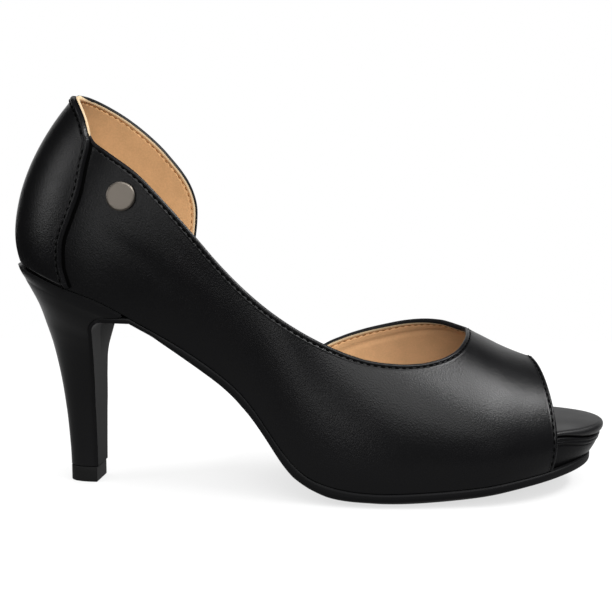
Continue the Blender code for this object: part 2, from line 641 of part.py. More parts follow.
def make_stud():
    """Round stud: a low turned disc with a bevelled rim, square to the upper under it."""
    rows = np.linspace(0.0, TIP, 401)[:, None]
    heights = np.linspace(0.0, 1.0, 201)[None, :]
    p = last_point(rows, heights)
    miss = np.hypot(p[..., 0] - STUD_X, p[..., 2] - STUD_Z)
    i, j = np.unravel_index(np.argmin(miss), miss.shape)
    place = (rows[i, 0], heights[0, j])
    base = skin(*np.array(place), np.array(GAP))
    axis = skin(*np.array(place), np.array(1.0 + GAP)) - base
    ahead = np.cross(axis, (0.0, 0.0, 1.0))
    ahead /= np.linalg.norm(ahead)
    above = np.cross(ahead, axis)
    outline = columns(STUD_COLUMNS, STUD_ROWS)
    angle = np.linspace(0.0, 2 * math.pi, STUD_STEPS + 1)[:-1, None]
    around = np.cos(angle) * ahead + np.sin(angle) * above
    radius = STUD_RADIUS - outline["set_in"]
    return stacked_loops(base + outline["lift"][:, None, None] * axis + radius[:, None, None] * around)


for leftover in list(bpy.data.objects):
    bpy.data.objects.remove(leftover, do_unlink=True)

BLACK_LEATHER = (0.010, 0.010, 0.011)
BLACK_RUBBER = (0.012, 0.012, 0.012)
GUNMETAL = (0.30, 0.29, 0.28)
pieces = [
    add_piece("outsole", *make_outsole(), BLACK_RUBBER, 0.5),
    add_piece("platform", *make_platform(), BLACK_LEATHER, 0.45),
    add_piece("insole", *make_insole(), BLACK_LEATHER, 0.5),
    add_piece("upper", *make_upper(), BLACK_LEATHER, 0.4),
    add_piece("counter", *closed_sheet(*make_counter()), BLACK_LEATHER, 0.4),
    add_piece("stud", *make_stud(), GUNMETAL, 0.35, 1.0),
    add_piece("heel", *make_heel(), BLACK_LEATHER, 0.4),
    add_piece("top_piece", *make_top_piece(), BLACK_RUBBER, 0.6),
]
corners = np.concatenate([[v.co[:] for v in piece.data.vertices] for piece in pieces])
middle = 0.5 * (corners.min(0) + corners.max(0))
shoe = bpy.data.objects.new("shoe", None)
bpy.context.scene.collection.objects.link(shoe)
shoe.location = (-middle[0], -middle[1], 0.0)
for piece in pieces:
    piece.parent = shoe
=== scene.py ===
"""Looks of a right shoe: a black peep-toe court shoe with a slim high heel and an open inner waist.

+X points to the toe, +Y to the inner side of the foot, +Z up. Tables are in millimetres, measured from
the back of the heel and up from the floor; place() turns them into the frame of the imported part.
"""
import math

import bmesh
import bpy
import numpy as np
from mathutils import Matrix, Vector


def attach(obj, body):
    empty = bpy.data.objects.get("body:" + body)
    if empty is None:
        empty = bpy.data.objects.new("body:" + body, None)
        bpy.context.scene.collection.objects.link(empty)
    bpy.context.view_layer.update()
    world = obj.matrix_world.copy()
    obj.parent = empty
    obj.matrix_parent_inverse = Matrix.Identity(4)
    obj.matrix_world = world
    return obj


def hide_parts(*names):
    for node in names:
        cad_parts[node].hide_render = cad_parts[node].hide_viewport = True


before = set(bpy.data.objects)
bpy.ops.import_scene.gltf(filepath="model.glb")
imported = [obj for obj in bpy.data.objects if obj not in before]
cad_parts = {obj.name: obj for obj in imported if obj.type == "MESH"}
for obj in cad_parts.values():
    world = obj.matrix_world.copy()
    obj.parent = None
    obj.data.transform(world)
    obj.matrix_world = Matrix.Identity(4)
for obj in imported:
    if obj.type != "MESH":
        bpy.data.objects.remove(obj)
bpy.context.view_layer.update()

# The last
# The foot-shaped form that the insole, lining and leather are pulled over. It isn't a piece of the shoe:
# every leather surface below is worked out on it, so all of them fit each other.
MM = 0.001
SHOE_MIDDLE = np.array([111.216, -0.464, 0.0])
LAST_COLUMNS = ("foot_x", "foot_z", "foot_out", "foot_in", "side_out", "side_in", "rise",
                "ridge_x", "ridge_y", "ridge_z", "crown_out", "crown_in")
LAST_ROWS = (
    (35.0, 72.4, 24.5, 24.5, 30.0, 30.0, 32.0, 66.0, 0.0, 163.0, 23.0, 23.0),
    (48.0, 65.0, 23.2, 22.0, 30.5, 29.0, 30.0, 74.0, 0.3, 152.0, 28.0, 27.0),
    (62.0, 56.9, 22.4, 18.6, 30.5, 28.0, 28.0, 84.0, 0.8, 138.0, 32.0, 30.0),
    (76.0, 47.6, 23.2, 16.6, 31.0, 27.0, 26.0, 95.0, 1.6, 122.0, 34.0, 30.0),
    (88.0, 37.6, 26.4, 17.6, 33.5, 27.0, 25.0, 105.0, 2.6, 107.0, 34.5, 30.0),
    (98.0, 24.3, 30.0, 20.6, 36.5, 28.0, 24.0, 113.0, 3.6, 96.0, 35.0, 30.5),
    (108.0, 12.6, 33.6, 25.0, 39.5, 31.0, 23.0, 121.0, 4.6, 86.5, 35.0, 31.5),
    (120.0, 7.3, 36.8, 30.0, 42.5, 35.5, 22.0, 131.0, 5.8, 78.0, 34.5, 33.0),
    (136.0, 5.7, 39.2, 35.4, 44.8, 40.5, 20.5, 144.5, 7.0, 70.4, 32.6, 34.2),
    (155.0, 6.3, 38.8, 38.6, 44.4, 43.0, 21.0, 159.0, 8.0, 63.4, 28.8, 33.0),
    (173.0, 7.6, 36.6, 37.8, 42.4, 42.0, 21.0, 175.0, 8.6, 55.6, 24.0, 30.0),
)
RIB_COLUMNS = ("foot_x", "foot_z", "side_x", "side_z", "crown_x", "crown_z", "ridge_x", "ridge_z")
BACK_RIB = (3.4, 83.8, -9.4, 115.8, 34.8, 168.0, 62.0, 168.0)
TOE_RIB = (217.5, 13.4, 224.5, 23.0, 222.0, 38.5, 205.6, 43.8)
TOE_TURN_IN = 4.5
TOE_DIP = 2.2
HEEL_ARC_STEPS = 4
TOE_ARC_STEPS = 6


def place(points):
    """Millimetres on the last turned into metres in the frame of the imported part."""
    return (np.asarray(points, float) - SHOE_MIDDLE) * MM


def columns(names, rows):
    """Table as a dictionary of arrays, one for each named column."""
    return dict(zip(names, np.array(rows, float).T))


def smooth(x, start, end):
    """Soft step: 0 before start, 1 after end, 3t^2 - 2t^3 between them."""
    t = np.clip((np.asarray(x, float) - start) / (end - start), 0.0, 1.0)
    return t * t * (3 - 2 * t)


def curve(points):
    """Smooth single-valued curve through the points: cubic pieces with averaged, overshoot-free slopes."""
    at, value = np.array(points, float).T
    step = np.diff(at)
    secant = np.diff(value) / step
    slope = np.concatenate([secant[:1], 0.5 * (secant[1:] + secant[:-1]), secant[-1:]])
    turns = secant[1:] * secant[:-1] <= 0
    slope[1:-1][turns] = 0.0

    def height(x):
        x = np.asarray(x, float)
        k = np.clip(np.searchsorted(at, x) - 1, 0, len(step) - 1)
        f = np.clip((x - at[k]) / step[k], -0.5, 1.5)
        rise = value[k + 1] - value[k]
        lead, tail = slope[k] * step[k], slope[k + 1] * step[k]
        return value[k] + f * (lead + f * (3 * rise - 2 * lead - tail + f * (lead + tail - 2 * rise)))

    return height


def closed_spline(rows):
    """Closed cubic spline through evenly numbered rows, smooth to the second derivative."""
    count = len(rows)
    unit = np.eye(count)
    matrix = 4 * unit + np.roll(unit, 1, 0) + np.roll(unit, -1, 0)
    second = 6 * (np.roll(rows, -1, 0) - 2 * rows + np.roll(rows, 1, 0))
    bend = np.linalg.solve(matrix, second.reshape(count, -1)).reshape(rows.shape)

    def point(number):
        number = np.asarray(number, float)
        low = np.floor(number).astype(int)
        f = (number - low)[..., None, None]
        g = 1 - f
        a, b = low % count, (low + 1) % count
        return g * rows[a] + f * rows[b] + ((g ** 3 - g) * bend[a] + (f ** 3 - f) * bend[b]) / 6

    return point


def last_rows():
    """Four rails (foot, side, crown, ridge) at each row, once round the last from the heel and back."""
    t = columns(LAST_COLUMNS, LAST_ROWS)
    back = dict(zip(RIB_COLUMNS, BACK_RIB))
    toe = dict(zip(RIB_COLUMNS, TOE_RIB))
    ridge_slope = (toe["ridge_z"] - t["ridge_z"][-1]) / (toe["ridge_x"] - t["ridge_x"][-1])

    def half(foot, side, crown, sign):
        lean = (t["ridge_x"] - t["foot_x"]) / 3
        straight = np.stack([
            np.stack([t["foot_x"], sign * t[foot], t["foot_z"]], -1),
            np.stack([t["foot_x"] + lean, sign * t[side], t["foot_z"] + t["rise"]], -1),
            np.stack([t["ridge_x"], sign * t[crown], t["ridge_z"]], -1),
            np.stack([t["ridge_x"], t["ridge_y"], t["ridge_z"]], -1)], 1)
        rails = ("foot", "side", "crown", "ridge")
        heel_end, toe_end = straight[0], straight[-1]
        lead = (toe_end[:, 1] - straight[-2, :, 1]) / (toe_end[:, 0] - straight[-2, :, 0])
        back_rib = np.array([[back[r + "_x"], 0.0, back[r + "_z"]] for r in rails])
        toe_rib = np.array([[toe[r + "_x"], 0.0, toe[r + "_z"]] for r in rails])
        heel, tip = [], []
        for step in range(HEEL_ARC_STEPS):
            angle = 0.5 * math.pi * step / HEEL_ARC_STEPS
            row = heel_end + (back_rib - heel_end) * math.cos(angle)
            row[:, 1] = heel_end[:, 1] * math.sin(angle)
            heel.append(row)
        for step in range(1, TOE_ARC_STEPS + 1):
            angle = 0.5 * math.pi * step / TOE_ARC_STEPS
            reach = math.sin(angle)
            row = toe_end + (toe_rib - toe_end) * reach
            run_on = lead * (row[:, 0] - toe_end[:, 0]) * math.cos(angle) ** 2
            row[:, 1] = toe_end[:, 1] * math.cos(angle) + TOE_TURN_IN * reach ** 2 + run_on
            row[3, 1] = toe_end[3, 1]
            row[3, 2] -= TOE_DIP * math.sin(2 * angle) * math.cos(angle) ** 4
            row[2, 2] = row[3, 2] + ridge_slope * (row[2, 0] - row[3, 0])
            tip.append(row)
        return np.concatenate([heel, straight, tip])

    outer = half("foot_out", "side_out", "crown_out", -1.0)
    inner = half("foot_in", "side_in", "crown_in", 1.0)
    return np.concatenate([outer, inner[-2:0:-1]])


LAST = last_rows()
ROUND = len(LAST)
TIP = ROUND // 2
rails_at = closed_spline(LAST)


def last_point(station, height):
    """Point of the last: station is the row number round it, height runs 0 to 1 up a cubic rib."""
    station, height = np.broadcast_arrays(np.asarray(station, float), np.asarray(height, float))
    rails = rails_at(station)
    h = height[..., None]
    g = 1 - h
    return (g ** 3 * rails[..., 0, :] + 3 * g * g * h * rails[..., 1, :]
            + 3 * g * h * h * rails[..., 2, :] + h ** 3 * rails[..., 3, :])


def slopes(station, height):
    """Derivatives of the last along it and up its rib, by a small step each way."""
    nudge = 1e-3
    along = (last_point(station + nudge, height) - last_point(station - nudge, height)) / (2 * nudge)
    up = (last_point(station, height + nudge) - last_point(station, height - nudge)) / (2 * nudge)
    return along, up


def normals(station, height):
    """Outward unit normal: the cross product of the two derivatives."""
    normal = np.cross(*slopes(station, height))
    return normal / np.linalg.norm(normal, axis=-1, keepdims=True)


def skin(station, height, offset):
    """Last point moved along its outward normal by offset, negative for inwards."""
    offset = np.asarray(offset, float)[..., None]
    return last_point(station, height) + normals(station, height) * offset


def station_at(x, rail=0):
    """Row number on the outer side where the foot line (rail 0) or the ridge (rail 3) has this x."""
    rows = np.linspace(0.0, TIP, 4001)
    return float(np.interp(x, rails_at(rows)[:, rail, 0], rows))


def inner_side(station):
    """The same row on the inner side."""
    return ROUND - station


def edge_height(stations, inside):
    """Height at which each rib leaves the region that inside(x, z) marks as positive."""
    heights = np.linspace(0.0, 1.0, 801)
    p = last_point(np.asarray(stations, float)[:, None], heights[None, :])
    value = inside(p[..., 0], p[..., 2])
    out = value <= 0
    k = np.where(out.any(1), np.maximum(out.argmax(1), 1), len(heights) - 1)
    rib = np.arange(len(k))
    before, after = value[rib, k - 1], value[rib, k]
    share = np.where(out.any(1), before / np.where(before == after, 1.0, before - after), 1.0)
    return heights[k - 1] + (heights[k] - heights[k - 1]) * np.clip(share, 0.0, 1.0)


def height_at_z(station, z):
    """Height on the rib at which it passes the level z, by Newton steps on the cubic."""
    station, z = np.broadcast_arrays(np.asarray(station, float), np.asarray(z, float))
    height = np.full(z.shape, 0.05)
    for _ in range(12):
        miss = last_point(station, height)[..., 2] - z
        height = np.clip(height - miss / slopes(station, height)[1][..., 2], -0.05, 1.0)
    return height


def foot_line_z(x):
    """Height of the foot line, equal on both sides, at this x."""
    rows = np.linspace(0.0, TIP, 801)
    foot = rails_at(rows)[:, 0]
    return np.interp(x, foot[:, 0], foot[:, 2])


# The footbed
# A board 4 mm thick with a layer of foam, covered in black leather that is pulled round its edge. At the
# open toe it shows as a rounded lip; the rest is glued down inside the shoe.
UPPER_WALL = 1.8
GAP = 0.3
FOOTBED_THICK = 4.0
FOOTBED_CROWN = 0.5
PEEP_OUT_X = 200.45
TOE_LET_OUT = 0.6
TOE_LIP = 1.2
# A reach of four numbers, here and below, is the start, full, leave and end of a soft plateau.
LIP_RISE = 2.0
LIP_RISE_X = (150.0, 185.0, 202.0, 217.0)
OUTER_TILT = 1.3
OUTER_TILT_X = (150.0, 185.0, 203.0, 217.0)
OUTER_TILT_Y = (4.0, 32.0)
PEEP_MARGIN = 0.15
LIP_MARGIN = 0.4
FOOTBED_ROUND = 1.6
FOOTBED_SPINE_X = (16.0, 196.0)
FOOTBED_SPINE_STEPS = 12
FOOTBED_ROWS = 440
ROUND_STEPS = 15
SHARP_ANGLE = math.radians(50.0)
WELD = 1e-6
FOOTBED_LINE = ((84.0, 41.5), (92.0, 35.7), (100.0, 29.9), (110.0, 24.6), (120.0, 21.2), (135.0, 18.6),
                (150.0, 17.8), (170.0, 18.2), (190.0, 19.3), (205.0, 20.1), (230.0, 20.4))
PEEP = station_at(PEEP_OUT_X)
footbed_line = curve(FOOTBED_LINE)


def grid_faces(index):
    """Quads over a grid of vertex numbers, or over several grids at once."""
    near, far = index[..., :-1, :], index[..., 1:, :]
    return np.stack([near[..., :-1], far[..., :-1], far[..., 1:], near[..., 1:]], -1).reshape(-1, 4)


def add_piece(name, points, faces, materials, slots=None, measures=None):
    """Mesh of quads in millimetres, doubles welded, faces turned outwards, smooth; rides on the shoe."""
    points = np.asarray(points, float).reshape(-1, 3)
    faces = np.asarray(faces, int)
    corner = points[faces]
    fan = np.einsum("ij,ij->i", corner[:, 0], np.cross(corner[:, 1], corner[:, 2]))
    fan += np.einsum("ij,ij->i", corner[:, 0], np.cross(corner[:, 2], corner[:, 3]))
    if fan.sum() < 0:
        faces = faces[:, ::-1]
    mesh = bpy.data.meshes.new(name)
    mesh.from_pydata(place(points).tolist(), [], faces.tolist())
    for material in materials:
        mesh.materials.append(material)
    if slots is not None:
        mesh.polygons.foreach_set("material_index", np.asarray(slots, np.int32))
    for label, values in (measures or {}).items():
        mesh.attributes.new(label, "FLOAT", "POINT").data.foreach_set("value", np.ravel(values))
    work = bmesh.new()
    work.from_mesh(mesh)
    bmesh.ops.remove_doubles(work, verts=work.verts, dist=WELD)
    bmesh.ops.dissolve_degenerate(work, edges=work.edges, dist=0.1 * WELD)
    work.to_mesh(mesh)
    work.free()
    mesh.shade_smooth()
    mesh.set_sharp_from_angle(angle=SHARP_ANGLE)
    piece = bpy.data.objects.new(name, mesh)
    bpy.context.scene.collection.objects.link(piece)
    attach(piece, "root")
    return piece


def linear(code):
    """sRGB hex colour as linear red, green, blue and alpha."""
    value = np.array([int(code[k:k + 2], 16) for k in (1, 3, 5)]) / 255.0
    return (*np.where(value <= 0.04045, value / 12.92, ((value + 0.055) / 1.055) ** 2.4).tolist(), 1.0)


def add_node(tree, kind, inputs=None, **settings):
    """Node with its settings; an input is a value, or the output socket that is linked to it."""
    node = tree.nodes.new("ShaderNode" + kind)
    for key, value in settings.items():
        setattr(node, key, value)
    for key, value in (inputs or {}).items():
        if isinstance(value, bpy.types.NodeSocket):
            tree.links.new(value, node.inputs[key])
        else:
            node.inputs[key].default_value = value
    return node


def new_material(name):
    """Empty node material with its shader."""
    material = bpy.data.materials.new(name)
    material.use_nodes = True
    return material, material.node_tree, material.node_tree.nodes["Principled BSDF"]


def per_mm(size):
    """Scale of a noise or cell pattern whose features are this many millimetres apart."""
    return 1.0 / (size * MM)


FINE_GRAIN = 0.6
GLOSS_PATCH_MM = 9.0
GLOSS_SPREAD = 0.02


def finished_leather(name, colour, roughness, grain_mm, grain_depth_mm, specular=0.12):
    """Corrected-grain cow leather with a satin finish: deep black, fine pores, soft uneven gloss."""
    material, tree, shader = new_material(name)
    where = add_node(tree, "TexCoord").outputs["Object"]
    pores = add_node(tree, "TexVoronoi", {"Vector": where, "Scale": per_mm(grain_mm)}, feature="SMOOTH_F1")
    fine = add_node(tree, "TexNoise", {"Vector": where, "Scale": per_mm(grain_mm * FINE_GRAIN),
                                       "Detail": 3.0})
    wavy = add_node(tree, "TexNoise", {"Vector": where, "Scale": per_mm(GLOSS_PATCH_MM), "Detail": 3.0})
    grain = add_node(tree, "Math", {0: pores.outputs["Distance"], 1: fine.outputs["Fac"]}, operation="ADD")
    bump = add_node(tree, "Bump", {"Height": grain.outputs[0], "Strength": 1.0,
                                   "Distance": grain_depth_mm * MM})
    gloss = add_node(tree, "MapRange", {"Value": wavy.outputs["Fac"], "From Min": 0.3, "From Max": 0.7,
                                        "To Min": roughness - GLOSS_SPREAD,
                                        "To Max": roughness + GLOSS_SPREAD})
    tree.links.new(bump.outputs["Normal"], shader.inputs["Normal"])
    tree.links.new(gloss.outputs["Result"], shader.inputs["Roughness"])
    shader.inputs["Base Color"].default_value = linear(colour)
    shader.inputs["Specular IOR Level"].default_value = specular
    return material


footbed_leather = finished_leather("footbed_leather_satin_black", "#0e0e0f", roughness=0.42, grain_mm=0.55,
                                   grain_depth_mm=0.012, specular=0.2)


def inset_at(station):
    """How far sole layers lie inside the last: within the upper, easing out at the open toe."""
    start = PEEP + PEEP_MARGIN
    side = np.minimum(station, ROUND - station)
    hidden = UPPER_WALL + GAP
    return hidden - (hidden + TOE_LET_OUT) * smooth(side, start, TIP)


def spine(points, back_x, front_x):
    """Middle line under an outline: halfway between its two sides, held between two ends."""
    half = len(points) // 2
    middle = 0.5 * (points + points[::-1])[:half]
    x = np.clip(points[:, 0], back_x, front_x)
    y = np.interp(x, middle[:, 0], middle[:, 1])
    return np.stack([x, y], -1)


def footbed_under(x):
    """Underside of the footbed: the foot line to the arch, then the top of the platform."""
    join = FOOTBED_LINE[0][0]
    return np.where(x < join, foot_line_z(x), footbed_line(x) + lip_rise(x))


def plateau(x, start, full, leave, end):
    """Soft plateau: 0 before start, 1 from full to leave, 0 again after end."""
    return smooth(x, start, full) * (1 - smooth(x, leave, end))


def lip_rise(x):
    """How much thinner the footbed gets towards the peep opening; full again at the tip of the toe."""
    return LIP_RISE * plateau(x, *LIP_RISE_X)


def outer_tilt(x, y):
    """How much the outer edge of the footbed stands up by the peep opening."""
    return OUTER_TILT * smooth(-y, *OUTER_TILT_Y) * plateau(x, *OUTER_TILT_X)


def to_spine(rim, middle, shares):
    """Plan points from an outline in to its middle line, at these shares of the way."""
    return rim[:, None] + (middle - rim)[:, None] * shares[None, :, None]


def lifted(plan, z):
    """Plan points with their heights added."""
    return np.concatenate([plan, z[..., None]], -1)


def footbed_grid():
    """Rows round the outline; columns from the spine underneath, round the edge, to the spine on top."""
    stations = ROUND * (np.arange(FOOTBED_ROWS) + 0.5) / FOOTBED_ROWS
    x = rails_at(stations)[:, 0, 0]
    low = footbed_under(x)
    turn = np.linspace(-0.5 * math.pi, 0.5 * math.pi, ROUND_STEPS)
    thick = FOOTBED_THICK - lip_rise(x)
    edge_z = low[:, None] + thick[:, None] * (0.5 + 0.5 * np.sin(turn))
    set_in = FOOTBED_ROUND * (1 - np.maximum(np.cos(turn), 0.0))
    side = np.minimum(stations, ROUND - stations)
    lip = TOE_LIP * np.clip((side - PEEP - LIP_MARGIN) / (TIP - PEEP), 0.0, 1.0)
    level = np.maximum(edge_z, foot_line_z(x)[:, None])
    heights = height_at_z(stations[:, None], level)
    edge = skin(stations[:, None] + 0 * heights, heights, (lip - inset_at(stations))[:, None] - set_in)
    edge[..., 2] = edge_z
    plan = edge[..., :2]
    middle = spine(plan[:, ROUND_STEPS // 2], *FOOTBED_SPINE_X)
    inward = np.linspace(0.0, 1.0, FOOTBED_SPINE_STEPS + 1)[1:] ** 0.8
    top = to_spine(plan[:, -1], middle, inward)
    under = to_spine(plan[:, 0], middle, inward[::-1])
    crown = FOOTBED_CROWN * (1 - (1 - inward) ** 2)
    top_z = footbed_under(top[..., 0]) + FOOTBED_THICK - lip_rise(top[..., 0]) + crown
    points = np.concatenate([lifted(under, footbed_under(under[..., 0])), edge, lifted(top, top_z)], 1)
    points[..., 2] += outer_tilt(points[..., 0], points[..., 1])
    return points


def closed_rows(points):
    """Vertices and quads of a grid whose rows run round a loop."""
    index = np.arange(points[..., 0].size).reshape(points.shape[:2])
    return points, grid_faces(np.concatenate([index, index[:1]], 0))


footbed = add_piece("footbed", *closed_rows(footbed_grid()), [footbed_leather])
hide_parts("insole")

# The upper
# Black satin leather, folded over and stitched along every open edge, with a tan suede-finished pigskin
# lining glued inside it. It is lasted: pulled down tight and glued under the footbed.
OUTER_TOPLINE = ((22.0, 147.8), (24.6, 146.3), (28.3, 141.7), (30.9, 136.3), (32.0, 132.8), (33.6, 130.5),
                 (38.0, 127.4), (49.5, 119.3), (58.8, 110.0), (70.4, 97.0), (78.1, 88.0), (85.2, 80.6),
                 (93.3, 73.5), (103.5, 66.3), (116.8, 58.9), (130.9, 53.4), (143.6, 51.3), (151.1, 51.1),
                 (156.4, 51.6), (161.7, 52.7), (166.1, 54.5), (168.3, 56.1), (169.7, 57.3), (170.4, 58.2))
EAR_TOP = ((22.0, 147.8), (24.4, 146.6), (27.3, 145.4), (33.9, 141.5), (41.0, 136.5), (48.6, 130.0),
           (54.3, 124.2), (60.2, 116.9), (70.0, 101.0))
EAR_FRONT = ((54.0, 57.5), (62.0, 58.5), (72.0, 61.0), (82.0, 64.0), (90.7, 65.4), (96.0, 66.0),
             (100.8, 66.2), (108.0, 64.9), (114.4, 61.9), (121.9, 56.2), (150.0, 31.0))
VAMP_EDGE = ((96.0, 18.0), (99.0, 27.0), (103.0, 35.0), (108.0, 41.5), (114.8, 47.6), (122.6, 51.2),
             (131.0, 54.0), (139.3, 56.2), (147.5, 58.2), (155.7, 59.4), (161.0, 59.5), (164.0, 59.0),
             (166.5, 58.35), (168.2, 57.95), (169.4, 57.7), (170.4, 57.7))
THROAT_X = 170.4
THROAT_LEAN = 1.4
EAR_FOOT_X = 57.3
VAMP_FOOT_X = 98.0
PEEP_IN_X = 194.5
PEEP_RIDGE_X = 195.6
PEEP_SCOOP = 1.9
FOLD_RADIUS = 0.45
FOLD_RISE = 0.2
FOLD_BEAD = (0.1, 0.6, 1.0, 1.5)
BEVEL_WIDTH = 1.3
COUNTER_DIP = 0.2
COUNTER_DIP_REACH = (-0.5, 0.1, 0.2, 1.4)
COUNTER_DIP_FROM_EDGE = (0.3, 2.0)
STITCH_FROM_EDGE = 1.6
STITCH_SINK = 0.2
STITCH_GROOVE = 0.3
GROOVE_LIP = 0.08
GROOVE_LIP_AWAY = 0.62
GROOVE_LIP_WIDTH = 0.24
LINING_STITCH = 2.1
SEAM_FROM_EDGE = 5.6
SEAM_SINK = 0.3
SEAM_WIDTH = 0.7
WRAP_WIDTH = 0.7
WRAP_THICK = 0.1
WRAP_START = (0.1, 0.4)
WRAP_SOFT = 0.1
COLLAR_WRAP_WIDTH = -0.1
COLLAR_WRAP_X = (30.0, 36.0)
COLLAR_WRAP_ROWS = (0.0, 1.2)
COLLAR_CREAM = 0.5
COLLAR_END_X = 32.2
# The collar's cut edge is given this distance past the wrap: cream, a little darkened as painted shade.
COLLAR_PAINTED_SHADE = 0.04
COUNTER_EDGE = ((60.0, 27.0), (74.5, 25.0), (78.4, 23.5), (82.3, 22.3), (85.9, 21.6), (90.6, 21.6),
                (95.0, 22.2), (103.3, 25.3), (112.4, 28.6), (121.8, 30.5), (128.1, 32.0), (131.5, 32.2),
                (150.0, 32.4))
EDGE_STEPS = np.array([0.0, 0.06, 0.16, 0.3, 0.45, 0.6, 0.8, 1.0, 1.15, 1.3, 1.5, 1.7, 1.9, 2.1, 2.3, 2.45,
                       2.6, 2.75, 2.9, 3.05, 3.25, 3.5, 3.9, 4.5, 5.3, 6.3])
FRONT_LENGTH = 27.0
QUARTER_RIBS = 260
EAR_RIBS = 110
VAMP_RIBS = 110
RIB_STEPS = 30
FRONT_STEPS = 25
# Soft creases of the outer quarter in side view: from x, z to x, z, half width and depth.
CREASES = ((36.0, 99.0, 60.0, 84.0, 3.2, 0.16), (44.0, 92.0, 76.0, 68.0, 3.8, 0.20),
           (58.0, 98.0, 82.0, 76.0, 2.8, 0.10), (150.0, 20.0, 188.0, 24.0, 3.0, 0.08))
CREASE_FADE = 2.2
THROAT = station_at(THROAT_X, rail=3)
PEEP_IN = station_at(PEEP_IN_X)
PEEP_RIDGE = station_at(PEEP_RIDGE_X, rail=3)
EAR_FOOT = station_at(EAR_FOOT_X)
VAMP_FOOT = station_at(VAMP_FOOT_X)
outer_top = curve(OUTER_TOPLINE)
ear_top = curve(EAR_TOP)
ear_front = curve(EAR_FRONT)
vamp_edge = curve(VAMP_EDGE)
counter_edge = curve(COUNTER_EDGE)


def inside_outer(x, z):
    """Positive below the outer topline."""
    return outer_top(x) - z


def inside_ear(x, z):
    """Positive below and behind the edges of the inner ear."""
    return np.minimum(ear_top(x) - z, ear_front(z) - x)


def inside_vamp(x, z):
    """Positive below the inner edge of the vamp."""
    return vamp_edge(x) - z


def crowded_ends(steps):
    """Shares 0 to 1 in this many steps, short at both ends and long in the middle."""
    return 0.5 - 0.5 * np.cos(np.linspace(0.0, math.pi, steps + 1))


def rib_shares(stations, tops):
    """Shares down each rib: close together by its edge at EDGE_STEPS millimetres, then even to the foot."""
    probe = 0.1
    top_at = last_point(stations, tops)
    below = last_point(stations, tops * (1 - probe))
    length = np.maximum(np.linalg.norm(top_at - below, axis=-1) / probe, 1e-3)
    squeeze = np.minimum(1.0, 0.5 * length / EDGE_STEPS[-1])
    near = 1 - EDGE_STEPS[None, :] * (squeeze / length)[:, None]
    far = near[:, -1:] * np.linspace(1.0, 0.0, RIB_STEPS + 1)[None, 1:]
    return np.concatenate([near, far], 1)[:, ::-1]


def leaning(stations, shares):
    """Stations down each rib; ribs lean forward near the throat, to meet its edge squarely."""
    lean = THROAT_LEAN * smooth(stations, VAMP_FOOT, THROAT)
    return stations[:, None] + lean[:, None] * (1 - shares)


def front_block(shares, peep_foot):
    """Stations between the throat rib and the peep edge, close together by the peep edge."""
    near = 1 - EDGE_STEPS / FRONT_LENGTH
    reach = np.concatenate([near, near[-1] * np.linspace(1.0, 0.0, FRONT_STEPS + 1)[1:]])[:, None]
    throat = THROAT + THROAT_LEAN * (1 - shares)
    scoop = PEEP_SCOOP * shares ** 2 * (1 - shares)
    peep = peep_foot + (PEEP_RIDGE - peep_foot) * shares ** 2 - scoop
    return throat + (peep - throat) * reach


quarter = THROAT * crowded_ends(QUARTER_RIBS)[-2::-1]
ear = EAR_FOOT * crowded_ends(EAR_RIBS)[1:]
back_vamp = VAMP_FOOT + (THROAT - VAMP_FOOT) * crowded_ends(VAMP_RIBS)[:-1]
quarter_tops = edge_height(quarter, inside_outer)
ear_tops = edge_height(inner_side(ear), inside_ear)
vamp_tops = edge_height(inner_side(back_vamp), inside_vamp)
throat_shares = rib_shares(np.array([THROAT]), np.ones(1))[0]
front_out = front_block(throat_shares, PEEP)
front_in = front_block(throat_shares, PEEP_IN)
quarter_shares = rib_shares(quarter, quarter_tops)
ear_shares = rib_shares(inner_side(ear), ear_tops)
vamp_shares = rib_shares(inner_side(back_vamp), vamp_tops)
FRONT = len(front_out)
front_heights = np.repeat(throat_shares[None], FRONT, 0)
main_stations = np.concatenate([front_out, leaning(quarter, quarter_shares),
                                inner_side(leaning(ear, ear_shares))])
main_heights = np.concatenate([front_heights, quarter_tops[:, None] * quarter_shares,
                               ear_tops[:, None] * ear_shares])
vamp_stations = np.concatenate([inner_side(leaning(back_vamp, vamp_shares)), inner_side(front_in)[::-1]])
vamp_heights = np.concatenate([vamp_tops[:, None] * vamp_shares, front_heights])


def distance_to(points, lines):
    """Shortest distance of each point to the segments of several open lines."""
    start = np.concatenate([line[:-1] for line in lines])
    run = np.concatenate([np.diff(line, axis=0) for line in lines])
    square = np.maximum((run ** 2).sum(1), 1e-12)
    best = []
    for part in np.array_split(points, max(1, len(points) // 400)):
        away = part[:, None] - start[None]
        t = np.clip((away * run).sum(-1) / square, 0.0, 1.0)
        best.append(np.sqrt((((away - t[..., None] * run) ** 2).sum(-1)).min(1)))
    return np.concatenate(best)


def quarter_round(d, radius):
    """Fall of a rounded edge below its face: a quarter circle that reaches the face at d = radius."""
    inside = np.clip(radius - d, 0.0, radius)
    return radius - np.sqrt(np.maximum(radius ** 2 - inside ** 2, 0.0))


def creases(points):
    """Soft troughs on the outer quarter: a bell across each line of CREASES, fading towards its ends."""
    side_view = points[..., ::2]
    depth = np.zeros(points.shape[:-1])
    for x0, z0, x1, z1, width, deep in CREASES:
        start, run = np.array([x0, z0]), np.array([x1 - x0, z1 - z0])
        share = (side_view - start) @ run / (run @ run)
        away = np.linalg.norm(side_view - start - share[..., None] * run, axis=-1)
        depth += deep * np.exp(-(away / width) ** 2 - (CREASE_FADE * (share - 0.5)) ** 4)
    return depth * (points[..., 1] < 0)


def bell(x, middle, width):
    """Bell curve of height 1 round its middle: e to the minus square of the distance over the width."""
    return np.exp(-((x - middle) / width) ** 2)


